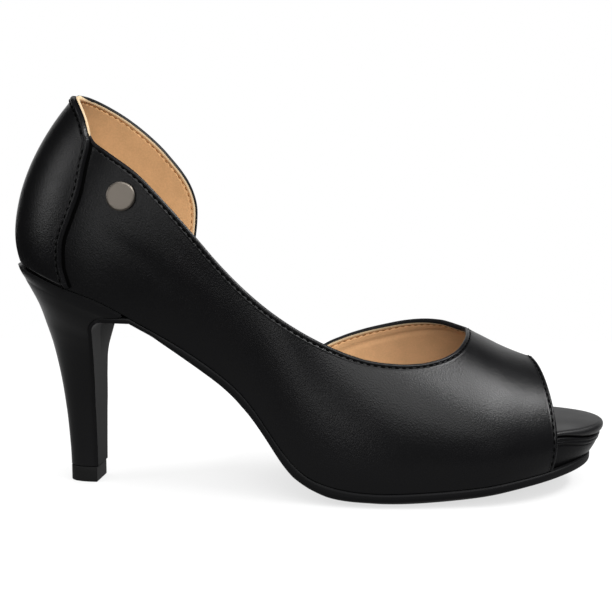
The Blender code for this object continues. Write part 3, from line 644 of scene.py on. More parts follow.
def folded_edge(d, points):
    """Leather height: tight fold, low bead, sunk stitch line, dip along the counter's edge, soft creases."""
    bead = FOLD_RISE * plateau(d, *FOLD_BEAD)
    groove = STITCH_SINK * bell(d, STITCH_FROM_EDGE, STITCH_GROOVE)
    lip = GROOVE_LIP * bell(d, STITCH_FROM_EDGE + GROOVE_LIP_AWAY, GROOVE_LIP_WIDTH)
    ahead = points[..., 0] - counter_edge(points[..., 2])
    dip = COUNTER_DIP * plateau(ahead, *COUNTER_DIP_REACH) * smooth(d, *COUNTER_DIP_FROM_EDGE)
    return bead + lip - quarter_round(d, FOLD_RADIUS) - groove - dip - creases(points)


def lining_edge(d, wrap_width, seam_sink):
    """Lining height: bevelled up to the fold, turned-in leather standing over it, sunk stitches and seam."""
    bevel = (UPPER_WALL - FOLD_RADIUS) / BEVEL_WIDTH * quarter_round(d, BEVEL_WIDTH)
    wrap = WRAP_THICK * plateau(d, *WRAP_START, wrap_width - WRAP_SOFT, wrap_width + WRAP_SOFT)
    groove = STITCH_SINK * bell(d, LINING_STITCH, STITCH_GROOVE)
    seam = seam_sink * bell(d, SEAM_FROM_EDGE, SEAM_WIDTH)
    return bevel - UPPER_WALL - wrap + groove + seam


main_base = last_point(main_stations, main_heights)
vamp_base = last_point(vamp_stations, vamp_heights)
OPEN_EDGES = [main_base[FRONT - 1:, -1], vamp_base[:len(back_vamp) + 1, -1],
              main_base[-1], vamp_base[0], main_base[0], vamp_base[-1]]
main_away = distance_to(main_base.reshape(-1, 3), OPEN_EDGES).reshape(main_base.shape[:2])
vamp_away = distance_to(vamp_base.reshape(-1, 3), OPEN_EDGES).reshape(vamp_base.shape[:2])
past_collar = np.where(main_stations < TIP, smooth(main_base[..., 0], *COLLAR_WRAP_X),
                       smooth(ROUND - main_stations, *COLLAR_WRAP_ROWS))
main_wrap = COLLAR_WRAP_WIDTH + (WRAP_WIDTH - COLLAR_WRAP_WIDTH) * past_collar
collar_shown = (main_away < COLLAR_CREAM) & (main_base[..., 0] < COLLAR_END_X) & (main_stations < TIP)


def upper_shell():
    """Outer and inner skins on the last, one wall apart, joined round every edge and along the foot."""
    main = np.arange(main_away.size).reshape(main_away.shape)
    vamp = np.arange(vamp_away.size).reshape(vamp_away.shape) + main.size
    vamp[-FRONT:, -1] = main[:FRONT, -1][::-1]
    deep = main_away.size + vamp_away.size
    points = np.concatenate([
        skin(main_stations, main_heights, folded_edge(main_away, main_base)).reshape(-1, 3),
        skin(vamp_stations, vamp_heights, folded_edge(vamp_away, vamp_base)).reshape(-1, 3),
        skin(main_stations, main_heights, lining_edge(main_away, main_wrap, 0.0)).reshape(-1, 3),
        skin(vamp_stations, vamp_heights, lining_edge(vamp_away, WRAP_WIDTH, SEAM_SINK)).reshape(-1, 3)])
    outer = np.concatenate([grid_faces(main), grid_faces(vamp)])
    feet = [np.stack([foot[1:], foot[:-1], foot[:-1] + deep, foot[1:] + deep], -1)
            for foot in (main[:, 0], vamp[:, 0])]
    faces = np.concatenate([outer, (outer + deep)[:, ::-1], *feet])
    collar = np.concatenate([collar_shown.ravel(), np.zeros(vamp.size, bool)])
    slots = np.concatenate([collar[outer].all(1), np.ones(len(outer)), np.zeros(sum(map(len, feet)))])
    past_wrap = np.concatenate([(main_away - main_wrap).ravel(), (vamp_away - WRAP_WIDTH).ravel()])
    # The collar's cut edge takes the cream darkened a little: painted shade.
    on_collar = np.where(collar, COLLAR_PAINTED_SHADE, past_wrap)
    return points, faces, slots, {"past_wrap_mm": np.concatenate([on_collar, past_wrap])}


LINING_TANS = ((0.3, "#b78f64"), (1.0, "#e0ad7e"))
LINING_CREAM = "#bfa887"
FOLD_BLACK = "#080809"
BLOTCH_MM = 5.0
NAP_MM = 0.7
# Painted light: the lining lightens along x between these object positions in metres, towards the toe.
PAINTED_LIGHT_X = (-0.01, 0.03)
CREAM_REACH = (0.5, 0.75)
FOLD_BLUR = 0.08


def suede_lining(name):
    """Tan pigskin lining with a light cut edge and painted light to the toe; black under the leather's fold.
    """
    material, tree, shader = new_material(name)
    where = add_node(tree, "TexCoord").outputs["Object"]
    edge = add_node(tree, "Attribute", attribute_name="past_wrap_mm").outputs["Fac"]
    blotch = add_node(tree, "TexNoise", {"Vector": where, "Scale": per_mm(BLOTCH_MM), "Detail": 5.0})
    nap = add_node(tree, "TexNoise", {"Vector": where, "Scale": per_mm(NAP_MM), "Detail": 3.0})
    along = add_node(tree, "SeparateXYZ", {0: where}).outputs["X"]
    # Painted light: the lining is made lighter towards the toe, where it lies deep inside the vamp.
    painted_light_to_toe = add_node(tree, "MapRange", {"Value": along, "From Min": PAINTED_LIGHT_X[0], "From Max": PAINTED_LIGHT_X[1],
                                       "To Min": 0.0, "To Max": 0.5})
    patches_and_painted_light = add_node(tree, "Math", {0: blotch.outputs["Fac"], 1: 0.4, 2: painted_light_to_toe.outputs["Result"]},
                      operation="MULTIPLY_ADD")
    shade = add_node(tree, "Math", {0: nap.outputs["Fac"], 1: 0.4, 2: patches_and_painted_light.outputs[0]},
                     operation="MULTIPLY_ADD")
    tone = add_node(tree, "ValToRGB", {"Fac": shade.outputs[0]})
    for stop, (position, code) in zip(tone.color_ramp.elements, LINING_TANS):
        stop.position = position
        stop.color = linear(code)
    rim = add_node(tree, "MapRange", {"Value": edge, "From Min": CREAM_REACH[0], "From Max": CREAM_REACH[1],
                                      "To Min": 1.0, "To Max": 0.0})
    cream = add_node(tree, "Mix", {"Factor": rim.outputs["Result"], "A": tone.outputs["Color"],
                                   "B": linear(LINING_CREAM)}, data_type="RGBA")
    fold = add_node(tree, "MapRange", {"Value": edge, "From Min": -FOLD_BLUR, "From Max": FOLD_BLUR,
                                       "To Min": 1.0, "To Max": 0.0})
    black = add_node(tree, "Mix", {"Factor": fold.outputs["Result"], "A": cream.outputs["Result"],
                                   "B": linear(FOLD_BLACK)}, data_type="RGBA")
    dull = add_node(tree, "MapRange", {"Value": fold.outputs["Result"], "To Min": 0.8, "To Max": 0.42})
    bump = add_node(tree, "Bump", {"Height": nap.outputs["Fac"], "Strength": 0.5, "Distance": 0.05 * MM})
    tree.links.new(black.outputs["Result"], shader.inputs["Base Color"])
    tree.links.new(dull.outputs["Result"], shader.inputs["Roughness"])
    tree.links.new(bump.outputs["Normal"], shader.inputs["Normal"])
    shader.inputs["Sheen Weight"].default_value = 0.04
    shader.inputs["Specular IOR Level"].default_value = 0.1
    return material


upper_leather = finished_leather("upper_leather_satin_black", "#09090a", roughness=0.3, grain_mm=0.55,
                                 grain_depth_mm=0.046)
lining_suede = suede_lining("lining_pigskin_tan")
points, faces, slots, measures = upper_shell()
upper = add_piece("upper_shell", points, faces, [upper_leather, lining_suede], slots, measures)
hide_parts("upper")

# The stitches
# Waxed thread: black along every folded edge of the leather, brown where it comes out on the lining.
# Each stitch is one short bowed bead that dips into the leather at both ends.
STITCH_PITCH = 2.6
STITCH_LENGTH = 2.0
THREAD_RADIUS = 0.26
LINING_THREAD_RADIUS = 0.15
STITCH_RINGS = 7
STITCH_SIDES = 8
STITCH_BOW = 2.2
COUNTER_FRONT_X = 34.0
CORNER_ROWS = 4
SHOWN_HEIGHTS = (0.01, 1.0)


def inset_path(stations, heights, away):
    """Path on the last this far inside an edge: the step is solved on the two derivatives of the last."""
    p = last_point(stations, heights)
    along, up = slopes(stations, heights)
    tangent = np.gradient(p, axis=0)
    tangent /= np.linalg.norm(tangent, axis=-1, keepdims=True)
    inward = np.cross(normals(stations, heights), tangent)
    a, b, c = (along * along).sum(-1), (along * up).sum(-1), (up * up).sum(-1)
    e, f = (along * inward).sum(-1) * away, (up * inward).sum(-1) * away
    spread = a * c - b * b
    return stations + (c * e - b * f) / spread, heights + (a * f - b * e) / spread


def stitches(name, stations, heights, offset, side, radius, material):
    """Row of bowed beads along a path on the last, on its outer (1) or inner (-1) side, eight-sided."""
    p = skin(stations, heights, np.full(stations.shape, offset))
    run = np.concatenate([[0.0], np.cumsum(np.linalg.norm(np.diff(p, axis=0), axis=-1))])
    count = max(2, int(run[-1] / STITCH_PITCH))
    at = (np.arange(count) + 0.5) * run[-1] / count
    reach = np.linspace(-0.5, 0.5, STITCH_RINGS)
    places = at[:, None] + reach[None] * STITCH_LENGTH
    path_s = np.interp(places, run, stations)
    path_h = np.interp(places, run, heights)
    up = side * normals(path_s, path_h)
    spot = skin(path_s, path_h, np.full(path_s.shape, offset))
    ahead = np.gradient(spot, axis=1)
    ahead /= np.linalg.norm(ahead, axis=-1, keepdims=True)
    across = np.cross(ahead, up)
    thick = radius * np.sqrt(np.clip(1 - (2 * reach) ** 4, 0.0, 1.0))
    bow = radius * (1 - STITCH_BOW * (2 * reach) ** 2)
    angle = np.linspace(0.0, 2 * math.pi, STITCH_SIDES + 1)[:-1]
    ring = (np.cos(angle)[:, None] * across[:, :, None] + np.sin(angle)[:, None] * up[:, :, None])
    points = spot[:, :, None] + up[:, :, None] * bow[None, :, None, None] + ring * thick[None, :, None, None]
    index = np.arange(points[..., 0].size).reshape(points.shape[:3])
    faces = grid_faces(np.concatenate([index, index[:, :, :1]], 2))
    return add_piece(name, points, faces, [material])


def toothed(name, colour, roughness, tooth_mm, detail, strength, depth_mm):
    """One even colour with a fine noise of this spacing and depth pressed into the surface."""
    material, tree, shader = new_material(name)
    where = add_node(tree, "TexCoord").outputs["Object"]
    tooth = add_node(tree, "TexNoise", {"Vector": where, "Scale": per_mm(tooth_mm), "Detail": detail})
    bump = add_node(tree, "Bump", {"Height": tooth.outputs["Fac"], "Strength": strength,
                                   "Distance": depth_mm * MM})
    tree.links.new(bump.outputs["Normal"], shader.inputs["Normal"])
    shader.inputs["Base Color"].default_value = linear(colour)
    shader.inputs["Roughness"].default_value = roughness
    return material, shader


def dull_wax_and_painted_shadow(name, colour):
    """Wax on twisted thread, and a strip of painted shadow by a leather edge: dark and dull, with a fine
    unevenness.
    """
    material, shader = toothed(name, colour, roughness=0.8, tooth_mm=0.4, detail=2.0, strength=0.6,
                               depth_mm=0.05)
    shader.inputs["Specular IOR Level"].default_value = 0.02
    return material


black_thread = dull_wax_and_painted_shadow("waxed_thread_black", "#030303")
brown_thread = dull_wax_and_painted_shadow("waxed_thread_brown", "#84562e")
QUARTER_END = FRONT + len(quarter)
EDGE_RUNS = {
    "outer": ("main", np.s_[FRONT - 1:QUARTER_END, -1]),
    "ear": ("main", np.s_[QUARTER_END:-CORNER_ROWS, -1]),
    "vamp": ("vamp", np.s_[CORNER_ROWS:len(back_vamp) + 1, -1]),
    "peep_outer": ("main", np.s_[0]),
    "peep_inner": ("vamp", np.s_[-1, ::-1]),
}
sheets = {"main": (main_stations, main_heights), "vamp": (vamp_stations, vamp_heights)}
for label, (sheet, run) in EDGE_RUNS.items():
    edge_s, edge_h = (grid[run] for grid in sheets[sheet])
    line_s, line_h = inset_path(edge_s, edge_h, STITCH_FROM_EDGE)
    shown = (line_h > SHOWN_HEIGHTS[0]) & (line_h < SHOWN_HEIGHTS[1])
    shown &= last_point(line_s, line_h)[:, 0] > COUNTER_FRONT_X
    row = stitches("stitches_" + label, line_s[shown], line_h[shown], -STITCH_SINK, 1.0, THREAD_RADIUS,
                   black_thread)
    line_s, line_h = inset_path(edge_s, edge_h, LINING_STITCH)
    shown = (line_h > SHOWN_HEIGHTS[0]) & (line_h < SHOWN_HEIGHTS[1])
    row = stitches("lining_stitches_" + label, line_s[shown], line_h[shown], STITCH_SINK - UPPER_WALL, -1.0,
                   LINING_THREAD_RADIUS, brown_thread)

# The counter
# A second layer of the same leather stuck over the stiffened heel, its edge turned under into a bead and
# stitched down 2 mm behind that edge, up the front on both sides and along the collar. In the corner between
# the bead and the quarter lies a thin matt black strip: a painted shadow.
COUNTER_WALL = 0.9
COUNTER_THIN = 0.5
COUNTER_THIN_ROWS = 2.2
COUNTER_THIN_FROM_FOOT = (4.0, 22.0)
COUNTER_THIN_FROM_EDGE = 4.0
COUNTER_TUCK = 1.0
COUNTER_TUCK_STEPS = np.array([0.0, 0.1, 0.3, 0.55, 0.85, 1.2, 1.6])
COUNTER_SHARES = (0.02, 0.985)
COUNTER_SEARCH_ROWS = (0.5, 5.5)
COUNTER_LENGTH = 44.0
COUNTER_RIB = 62.0
COUNTER_ROWS = 44
COUNTER_COLUMNS = 40
COUNTER_BEAD = 0.45
COUNTER_BEAD_REACH = (0.2, 0.8, 1.2, 1.9)
COUNTER_STITCH = 2.0
STITCHES_BELOW_COLLAR = -17
COLLAR_CORNER = 16
# The strip of painted shadow beside the counter's bead: where it stops below the collar, its tuck, width,
# thickness.
SHADOW_STRIP_BELOW_COLLAR = -6
SHADOW_STRIP_TUCK = 0.3
SHADOW_STRIP_WIDTH = 1.1
SHADOW_STRIP_THICK = 0.03


def counter_grid():
    """Stations and heights over the heel: across from one front edge to the other, up from foot to collar."""
    low, high = COUNTER_SHARES
    tuck = low + COUNTER_TUCK_STEPS / COUNTER_RIB
    collar = high - EDGE_STEPS[::-1] / COUNTER_RIB
    shares = np.concatenate([tuck, np.linspace(tuck[-1], collar[0], COUNTER_ROWS)[1:-1], collar])
    near = 1 - EDGE_STEPS / COUNTER_LENGTH
    side = np.concatenate([near, near[-1] * np.linspace(1.0, 0.0, COUNTER_COLUMNS + 1)[1:]])
    slide = np.concatenate([-side, side[-2::-1]])
    search = np.linspace(*COUNTER_SEARCH_ROWS, 240)
    reach = []
    for rows, inside in ((search, inside_outer), (inner_side(search), inside_ear)):
        p = last_point(rows[:, None], edge_height(rows, inside)[:, None] * shares)
        ahead = p[..., 0] - counter_edge(p[..., 2])
        reach.append([np.interp(0.0, ahead[:, k], search) for k in range(len(shares))])
    outer, inner = np.array(reach)
    stations = np.where(slide < 0, outer[:, None] * -slide, -inner[:, None] * slide)
    table = np.linspace(0.0, COUNTER_SEARCH_ROWS[1], 300)
    outer_tops = np.interp(stations, table, edge_height(table, inside_outer))
    inner_tops = np.interp(-stations, table, edge_height(inner_side(table), inside_ear))
    return stations, shares[:, None] * np.where(stations > 0, outer_tops, inner_tops)


def counter_sheet():
    """Two skins just outside the upper; the outer one has a rounded edge, a bead and a stitch groove."""
    stations, heights = counter_grid()
    base = last_point(stations, heights)
    lines = [base[:, 0], base[:, -1], base[-1]]
    d = distance_to(base.reshape(-1, 3), lines).reshape(heights.shape)
    foot_d = distance_to(base.reshape(-1, 3), [base[0]]).reshape(heights.shape)
    thin = COUNTER_THIN * bell(stations, 0.0, COUNTER_THIN_ROWS) * smooth(foot_d, *COUNTER_THIN_FROM_FOOT)
    thin = thin * smooth(d, 0.0, COUNTER_THIN_FROM_EDGE)
    round_edge = COUNTER_WALL - thin - quarter_round(d, COUNTER_WALL)
    round_edge = round_edge * (1 - quarter_round(foot_d, COUNTER_TUCK) / COUNTER_TUCK)
    bead = COUNTER_BEAD * plateau(d, *COUNTER_BEAD_REACH)
    groove = STITCH_SINK * bell(d, COUNTER_STITCH, STITCH_GROOVE)
    outer = skin(stations, heights, GAP + round_edge + bead - groove)
    inner = skin(stations, heights, np.full(heights.shape, GAP))
    index = np.arange(heights.size).reshape(heights.shape)
    deep = index.size
    foot = np.stack([index[0, 1:], index[0, :-1], index[0, :-1] + deep, index[0, 1:] + deep], -1)
    faces = np.concatenate([grid_faces(index), (grid_faces(index) + deep)[:, ::-1], foot[:, ::-1]])
    return np.concatenate([outer.reshape(-1, 3), inner.reshape(-1, 3)]), faces


counter_leather = finished_leather("counter_leather_satin_black", "#09090a", roughness=0.3, grain_mm=0.55,
                                   grain_depth_mm=0.046)
counter = add_piece("counter_panel", *counter_sheet(), [counter_leather])
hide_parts("counter")
counter_s, counter_h = counter_grid()
COUNTER_RUNS = {
    "front_outer": np.s_[:STITCHES_BELOW_COLLAR, 0],
    "front_inner": np.s_[STITCHES_BELOW_COLLAR::-1, -1],
    "collar": np.s_[-1, COLLAR_CORNER:-COLLAR_CORNER],
}
SHADOW_STRIP_RUNS = {"outer": np.s_[:SHADOW_STRIP_BELOW_COLLAR, 0], "inner": np.s_[SHADOW_STRIP_BELOW_COLLAR::-1, -1]}
for label, edge in COUNTER_RUNS.items():
    line_s, line_h = inset_path(counter_s[edge], counter_h[edge], COUNTER_STITCH)
    row = stitches("counter_stitches_" + label, line_s, line_h, GAP + COUNTER_WALL - STITCH_SINK, 1.0,
                   THREAD_RADIUS, black_thread)


def ringed(points):
    """Vertices and quads of a grid whose columns run round a ring."""
    index = np.arange(points[..., 0].size).reshape(points.shape[:2])
    return points, grid_faces(np.concatenate([index, index[:, :1]], 1))


def stacked(loops):
    """Closed solid from matching loops; each end loop is closed onto the line midway between its halves."""
    first = 0.5 * (loops[:1] + loops[:1, ::-1])
    final = 0.5 * (loops[-1:] + loops[-1:, ::-1])
    return ringed(np.concatenate([first, loops, final]))


def shadow_strip_loops(stations, heights):
    """Thin closed strip of painted shadow along a front edge of the counter, from just under it to a little
    ahead.
    """
    across = np.linspace(SHADOW_STRIP_TUCK, -SHADOW_STRIP_WIDTH, 6)
    sides = [inset_path(stations, heights, away) for away in across]
    top = [skin(*side, np.full(stations.shape, 2 * SHADOW_STRIP_THICK)) for side in sides]
    low = [skin(*side, np.full(stations.shape, SHADOW_STRIP_THICK)) for side in sides[::-1]]
    return np.stack(top + low, 1)


# Painted shadow: a matt black strip laid in the corner between the counter's bead and the quarter.
painted_shadow_matt = dull_wax_and_painted_shadow("painted_shadow_matt_black", "#020202")
for label, edge in SHADOW_STRIP_RUNS.items():
    strip = add_piece("painted_shadow_matt_" + label, *stacked(shadow_strip_loops(counter_s[edge], counter_h[edge])), [painted_shadow_matt])

# The stud
# A turned and brushed metal button, gunmetal plated, flat with a rounded rim; its pin is riveted through the
# outer quarter.
STUD_X = 44.0
STUD_Z = 111.3
STUD_OUTLINE = ((0.0, 0.0), (0.0, 5.0), (0.2, 5.2), (0.6, 5.3), (1.1, 5.3), (1.35, 5.25), (1.52, 5.11),
                (1.63, 4.87), (1.67, 4.55), (1.685, 4.0), (1.695, 2.7), (1.7, 1.3), (1.7, 0.0))
STUD_SIDES = 96


def stud_rings():
    """Outline turned about the normal of the upper: rings of points from the foot to the crown."""
    rows = np.linspace(0.0, TIP, 401)[:, None]
    heights = np.linspace(0.0, 1.0, 201)[None, :]
    p = last_point(rows, heights)
    i, j = np.unravel_index(np.argmin(np.hypot(p[..., 0] - STUD_X, p[..., 2] - STUD_Z)), p.shape[:2])
    seat = np.array(rows[i, 0]), np.array(heights[0, j])
    axis = normals(*seat)
    ahead = np.cross(axis, (0.0, 0.0, 1.0))
    ahead /= np.linalg.norm(ahead)
    above = np.cross(ahead, axis)
    angle = np.linspace(0.0, 2 * math.pi, STUD_SIDES + 1)[:-1, None]
    around = np.cos(angle) * ahead + np.sin(angle) * above
    lift, radius = np.array(STUD_OUTLINE).T
    return skin(*seat, np.array(GAP)) + lift[:, None, None] * axis + radius[:, None, None] * around


def brushed_metal(name):
    """Gunmetal plating, brushed to a satin sheen with a faint warm cast."""
    material, shader = toothed(name, "#5b5650", roughness=0.42, tooth_mm=0.3, detail=2.0, strength=0.25,
                               depth_mm=0.01)
    shader.inputs["Metallic"].default_value = 1.0
    return material


stud = add_piece("stud_cap", *ringed(stud_rings()), [brushed_metal("stud_gunmetal_brushed")])
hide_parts("stud")

# The platform
# A light block under the ball, wrapped in the same black leather. The upper hides its sides; at the open
# toe its wall shows, with two thin piped lines just under the footbed.
PLATFORM_BACK_X = 88.5
PLATFORM_SPINE_X = (90.5, 196.0)
PLATFORM_ROWS = 360
PLATFORM_ROUND = 0.4
PLATFORM_ROUND_DEPTH = 0.3
PIPE_DEPTHS = (0.6, 1.85)
PIPE_HALF_WIDTH = 0.5
PIPE_RISE = 0.3
PIPE_GROOVE = 0.25
PIPE_GROOVE_DEPTH = 2.6
PIPE_GROOVE_WIDTH = 0.22
PIPES_FROM_SHARE = 0.6
PIPES_SHOWN_ROWS = (-0.6, 0.4)


def platform_grid():
    """Rows round the outline by the toe; columns from the spine below, up the wall, to the spine on top."""
    back = station_at(PLATFORM_BACK_X)
    stations = np.linspace(back, ROUND - back, PLATFORM_ROWS)
    x = rails_at(stations)[:, 0, 0]
    low = foot_line_z(x)
    high = footbed_line(x) - GAP + lip_rise(x)
    share = np.concatenate([np.linspace(0.0, PIPES_FROM_SHARE, 9)[:-1],
                            np.linspace(PIPES_FROM_SHARE, 1.0, 33)])
    wall_z = low[:, None] + (high - low)[:, None] * share
    depth = high[:, None] - wall_z
    from_pipe = np.abs(depth[..., None] - np.array(PIPE_DEPTHS)).min(-1) / PIPE_HALF_WIDTH
    pipe = PIPE_RISE * np.sqrt(1 - np.clip(from_pipe, 0.0, 1.0) ** 2)
    pipes = pipe - PIPE_GROOVE * bell(depth, PIPE_GROOVE_DEPTH, PIPE_GROOVE_WIDTH)
    side = np.minimum(stations, ROUND - stations)
    shown = smooth(side - PEEP, *PIPES_SHOWN_ROWS)[:, None]
    soft = PLATFORM_ROUND * (1 - smooth(depth, 0.0, PLATFORM_ROUND_DEPTH))
    heights = height_at_z(stations[:, None], wall_z)
    wall = skin(stations[:, None] + 0 * heights, heights, pipes * shown - soft - inset_at(stations)[:, None])
    wall[..., 2] = wall_z
    plan = wall[..., :2]
    middle = spine(plan[:, -1], *PLATFORM_SPINE_X)
    inward = np.linspace(0.0, 1.0, 7)[1:]
    top = to_spine(plan[:, -1], middle, inward)
    under = to_spine(plan[:, 0], middle, inward[::-1])
    top_z = footbed_line(top[..., 0]) - GAP + lip_rise(top[..., 0]) + outer_tilt(top[..., 0], top[..., 1])
    wall[..., 2] += share * outer_tilt(wall[..., 0], wall[..., 1])
    return np.concatenate([lifted(under, foot_line_z(under[..., 0])), wall, lifted(top, top_z)], 1)


platform_leather = finished_leather("platform_leather_satin_black", "#080809", roughness=0.36, grain_mm=0.6,
                                    grain_depth_mm=0.04, specular=0.07)
platform = add_piece("platform_cover", *closed_rows(platform_grid()), [platform_leather])
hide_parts("platform")

# The sole
# One strip of black moulded rubber: under the toe and ball, up the shank, round the corner of the heel and
# down its breast as a thin flap that ends on the lift.
OUTSOLE_PROUD = 0.5
SOLE_CROWN = 3.2
SOLE_CROWN_EDGE = 0.6
SOLE_TIP_TAPER = 3.0
SOLE_TIP_MARGIN = 0.03
SOLE_SECTIONS = 240
SOLE_SIDE_STEPS = 15
SOLE_UNDER_STEPS = 18
BALL_HALF_WIDTH = 38.0
FLAP_THICK = 1.4
FLAP_FOOT_Z = 6.4
BREAST_X = 29.5
FLAP_BEND = 6.0
FLAP_BEND_STEPS = 17
FLAP_STEPS = 50
FLAP_ROUND = 0.2
FLAP_BACK_ROUND = 0.2
FLAP_BACK_SHARE = 0.3
GLUE_LINE = 0.05
SHANK_END_X = 45.5
SHANK_END_Z = 66.4
HEEL_TURN = 0.12
HEEL_TURN_FROM_Z = 30.0
INNER_FLARE = 0.17
INNER_FLARE_Z = (45.0, 61.0, 62.0, SHANK_END_Z)
SOLE_EDGE = ((40.0, 2.0), (52.5, 2.0), (58.0, 2.6), (64.0, 3.05), (70.0, 3.25), (78.0, 3.3), (86.0, 3.4),
             (96.0, 3.4), (102.0, 3.6), (107.0, 3.5), (113.0, 3.8), (119.0, 4.2), (135.0, 3.5),
             (160.0, 3.5), (185.0, 3.5), (220.0, 3.3))
SOLE_SIDE = ((0.0, 0.5), (0.12, 0.12), (0.3, 0.0), (0.6, 0.04), (0.85, 0.36), (1.0, 0.9))
HEEL_COLUMNS = ("back_x", "back_z", "front_run", "half_width")
HEEL_ROWS = (
    (19.4, 6.3, 0.0, 6.3),
    (19.1, 14.0, 7.7, 6.7),
    (18.1, 27.0, 20.2, 7.6),
    (16.2, 41.0, 33.2, 9.6),
    (13.6, 53.5, 43.7, 12.6),
    (10.9, 62.5, 50.2, 15.6),
    (8.9, 69.0, 55.0, 18.2),
    (6.5, 74.2, 59.5, 20.6),
    (3.8, 78.6, 64.5, 22.6),
    (1.6, 81.8, 70.2, 23.8),
    (0.9, 83.4, 70.6, 24.3),
)
BEND_X = BREAST_X + GAP + FLAP_BEND
BEND_Z = SHANK_END_Z - FLAP_BEND
heel_table = columns(HEEL_COLUMNS, HEEL_ROWS)


def breast_path(run):
    """Front of the heel in side view: up the breast, round the bend and forward under the seat lip."""
    radius = FLAP_BEND + GLUE_LINE
    straight = BEND_Z - heel_table["back_z"][0]
    angle = np.clip((run - straight) / radius, 0.0, 0.5 * math.pi)
    beyond = np.maximum(run - straight - 0.5 * math.pi * radius, 0.0)
    x = BEND_X - radius * np.cos(angle) + beyond
    z = BEND_Z - np.maximum(straight - run, 0.0) + radius * np.sin(angle)
    return x, z


def both_halves(x, side_y, z, level):
    """Loops down one side and up the other, slid along x in step with y: turned, and flared on the inside."""
    x, z = np.broadcast_to(x, side_y.shape), np.broadcast_to(z, side_y.shape)
    turn = HEEL_TURN * np.interp(level, (HEEL_TURN_FROM_Z, SHANK_END_Z), (1.0, 0.0))[:, None]
    out = np.stack([x - turn * side_y, -side_y, z], -1)
    flare = INNER_FLARE * plateau(level, *INNER_FLARE_Z)[:, None]
    inn = np.stack([x + (turn + flare) * side_y, side_y, z], -1)
    return np.concatenate([out, inn[:, -2::-1]], 1)


def sole_loops():
    """Sections of the strip, first along the foot line from the toe, then round the bend and down."""
    edge_thick = curve(SOLE_EDGE)
    depth_share = np.linspace(0.0, 1.0, SOLE_SIDE_STEPS)
    set_in = curve(SOLE_SIDE)(depth_share)
    across = np.linspace(1.0, 0.0, SOLE_UNDER_STEPS + 1)[1:]
    crown_share = 1 - np.clip((across - SOLE_CROWN_EDGE) / (1 - SOLE_CROWN_EDGE), 0.0, 1.0) ** 2
    stations = np.linspace(TIP - SOLE_TIP_MARGIN, station_at(SHANK_END_X), SOLE_SECTIONS)
    foot_out, foot_in = rails_at(stations)[:, 0], rails_at(inner_side(stations))[:, 0]
    x = foot_out[:, 0]
    slope = np.minimum(np.abs(foot_line_z(x + 1.0) - foot_line_z(x - 1.0)) / 2.0, 1.0)
    top = foot_out[:, 2] - GAP
    thick = edge_thick(x) * np.hypot(1.0, slope) - GAP
    middle = 0.5 * (foot_in[:, 1] + foot_out[:, 1])
    half = 0.5 * (foot_in[:, 1] - foot_out[:, 1]) + OUTSOLE_PROUD
    crown = SOLE_CROWN * (half / BALL_HALF_WIDTH) ** 3
    low = np.maximum((top - thick)[:, None] - crown[:, None] * crown_share, 0.0)
    taper = np.minimum(1.0, half / SOLE_TIP_TAPER)[:, None]
    under_y = across * (half[:, None] - set_in[-1] * taper)
    side_y = np.concatenate([half[:, None] - set_in * taper, under_y], 1)
    side_z = np.concatenate([top[:, None] - thick[:, None] * depth_share, low], 1)
    forward = both_halves(x[:, None], side_y, side_z, np.full(len(x), SHANK_END_Z))
    forward[..., 1] += middle[:, None]
    angle = 0.5 * math.pi * np.concatenate([np.linspace(0.0, 1.0, FLAP_BEND_STEPS), np.ones(FLAP_STEPS)])
    straight = np.linspace(0.0, BEND_Z - FLAP_FOOT_Z, FLAP_STEPS + 1)[1:]
    drop = np.concatenate([np.zeros(FLAP_BEND_STEPS), straight])
    ahead, below = np.sin(angle)[:, None], np.cos(angle)[:, None]
    x = BEND_X - FLAP_BEND * ahead
    z = BEND_Z + FLAP_BEND * below - drop[:, None]
    half = np.interp(z, breast_path(heel_table["front_run"])[1], heel_table["half_width"]) + GAP
    thick = edge_thick(SHANK_END_X) + (FLAP_THICK - edge_thick(SHANK_END_X)) * ahead
    depth = thick * np.concatenate([depth_share, np.ones(len(across))])
    back_round = FLAP_BACK_ROUND * (1 - smooth(depth_share, 0.0, FLAP_BACK_SHARE))
    wide = half + FLAP_ROUND * (1 - 2 * depth_share) - back_round
    side_y = np.concatenate([wide, across * (half - FLAP_ROUND)], 1)
    flap = both_halves(x + ahead * depth, side_y, z - below * depth, z[:, 0])
    return np.concatenate([forward, flap])


def moulded_rubber(name, colour, roughness):
    """Moulded black rubber: dull, with a fine even tooth from the mould."""
    material, shader = toothed(name, colour, roughness, tooth_mm=0.5, detail=4.0, strength=0.6, depth_mm=0.03)
    shader.inputs["Specular IOR Level"].default_value = 0.09
    return material


sole_rubber = moulded_rubber("sole_rubber_black", "#070708", roughness=0.6)
sole = add_piece("sole", *stacked(sole_loops()), [sole_rubber])
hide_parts("outsole")

# The heel
# A slim moulded core covered in the same black leather, drawn smoothly round the back from one edge of the
# breast to the other and tucked under the counter.
SEAT_FROM_ROW = 5.0
SEAT_POWER = 1.5
SEAT_TOP_ROWS = (8.5, 10.0)
SEAT_LET_OUT = ((2.0, 0.9), (22.0, -0.3))
SEAT_FADE = 8.0
HEEL_RINGS = 130
D_POWER = 0.85
D_STEPS = 44


def seat_half_width(x, back_x):
    """Half width of the heel seat: the foot line, let out at the back to carry the counter too."""
    foot = rails_at(np.linspace(0.0, 0.5 * TIP, 401))[:, 0]
    x = np.maximum(x, foot[0, 0] + (x - back_x) * (BEND_X - foot[0, 0]) / (BEND_X - back_x))
    y = np.interp(x, foot[:, 0], -foot[:, 1])
    return y + np.interp(x, *np.transpose(SEAT_LET_OUT)) * np.clip(y / SEAT_FADE, 0.0, 1.0)


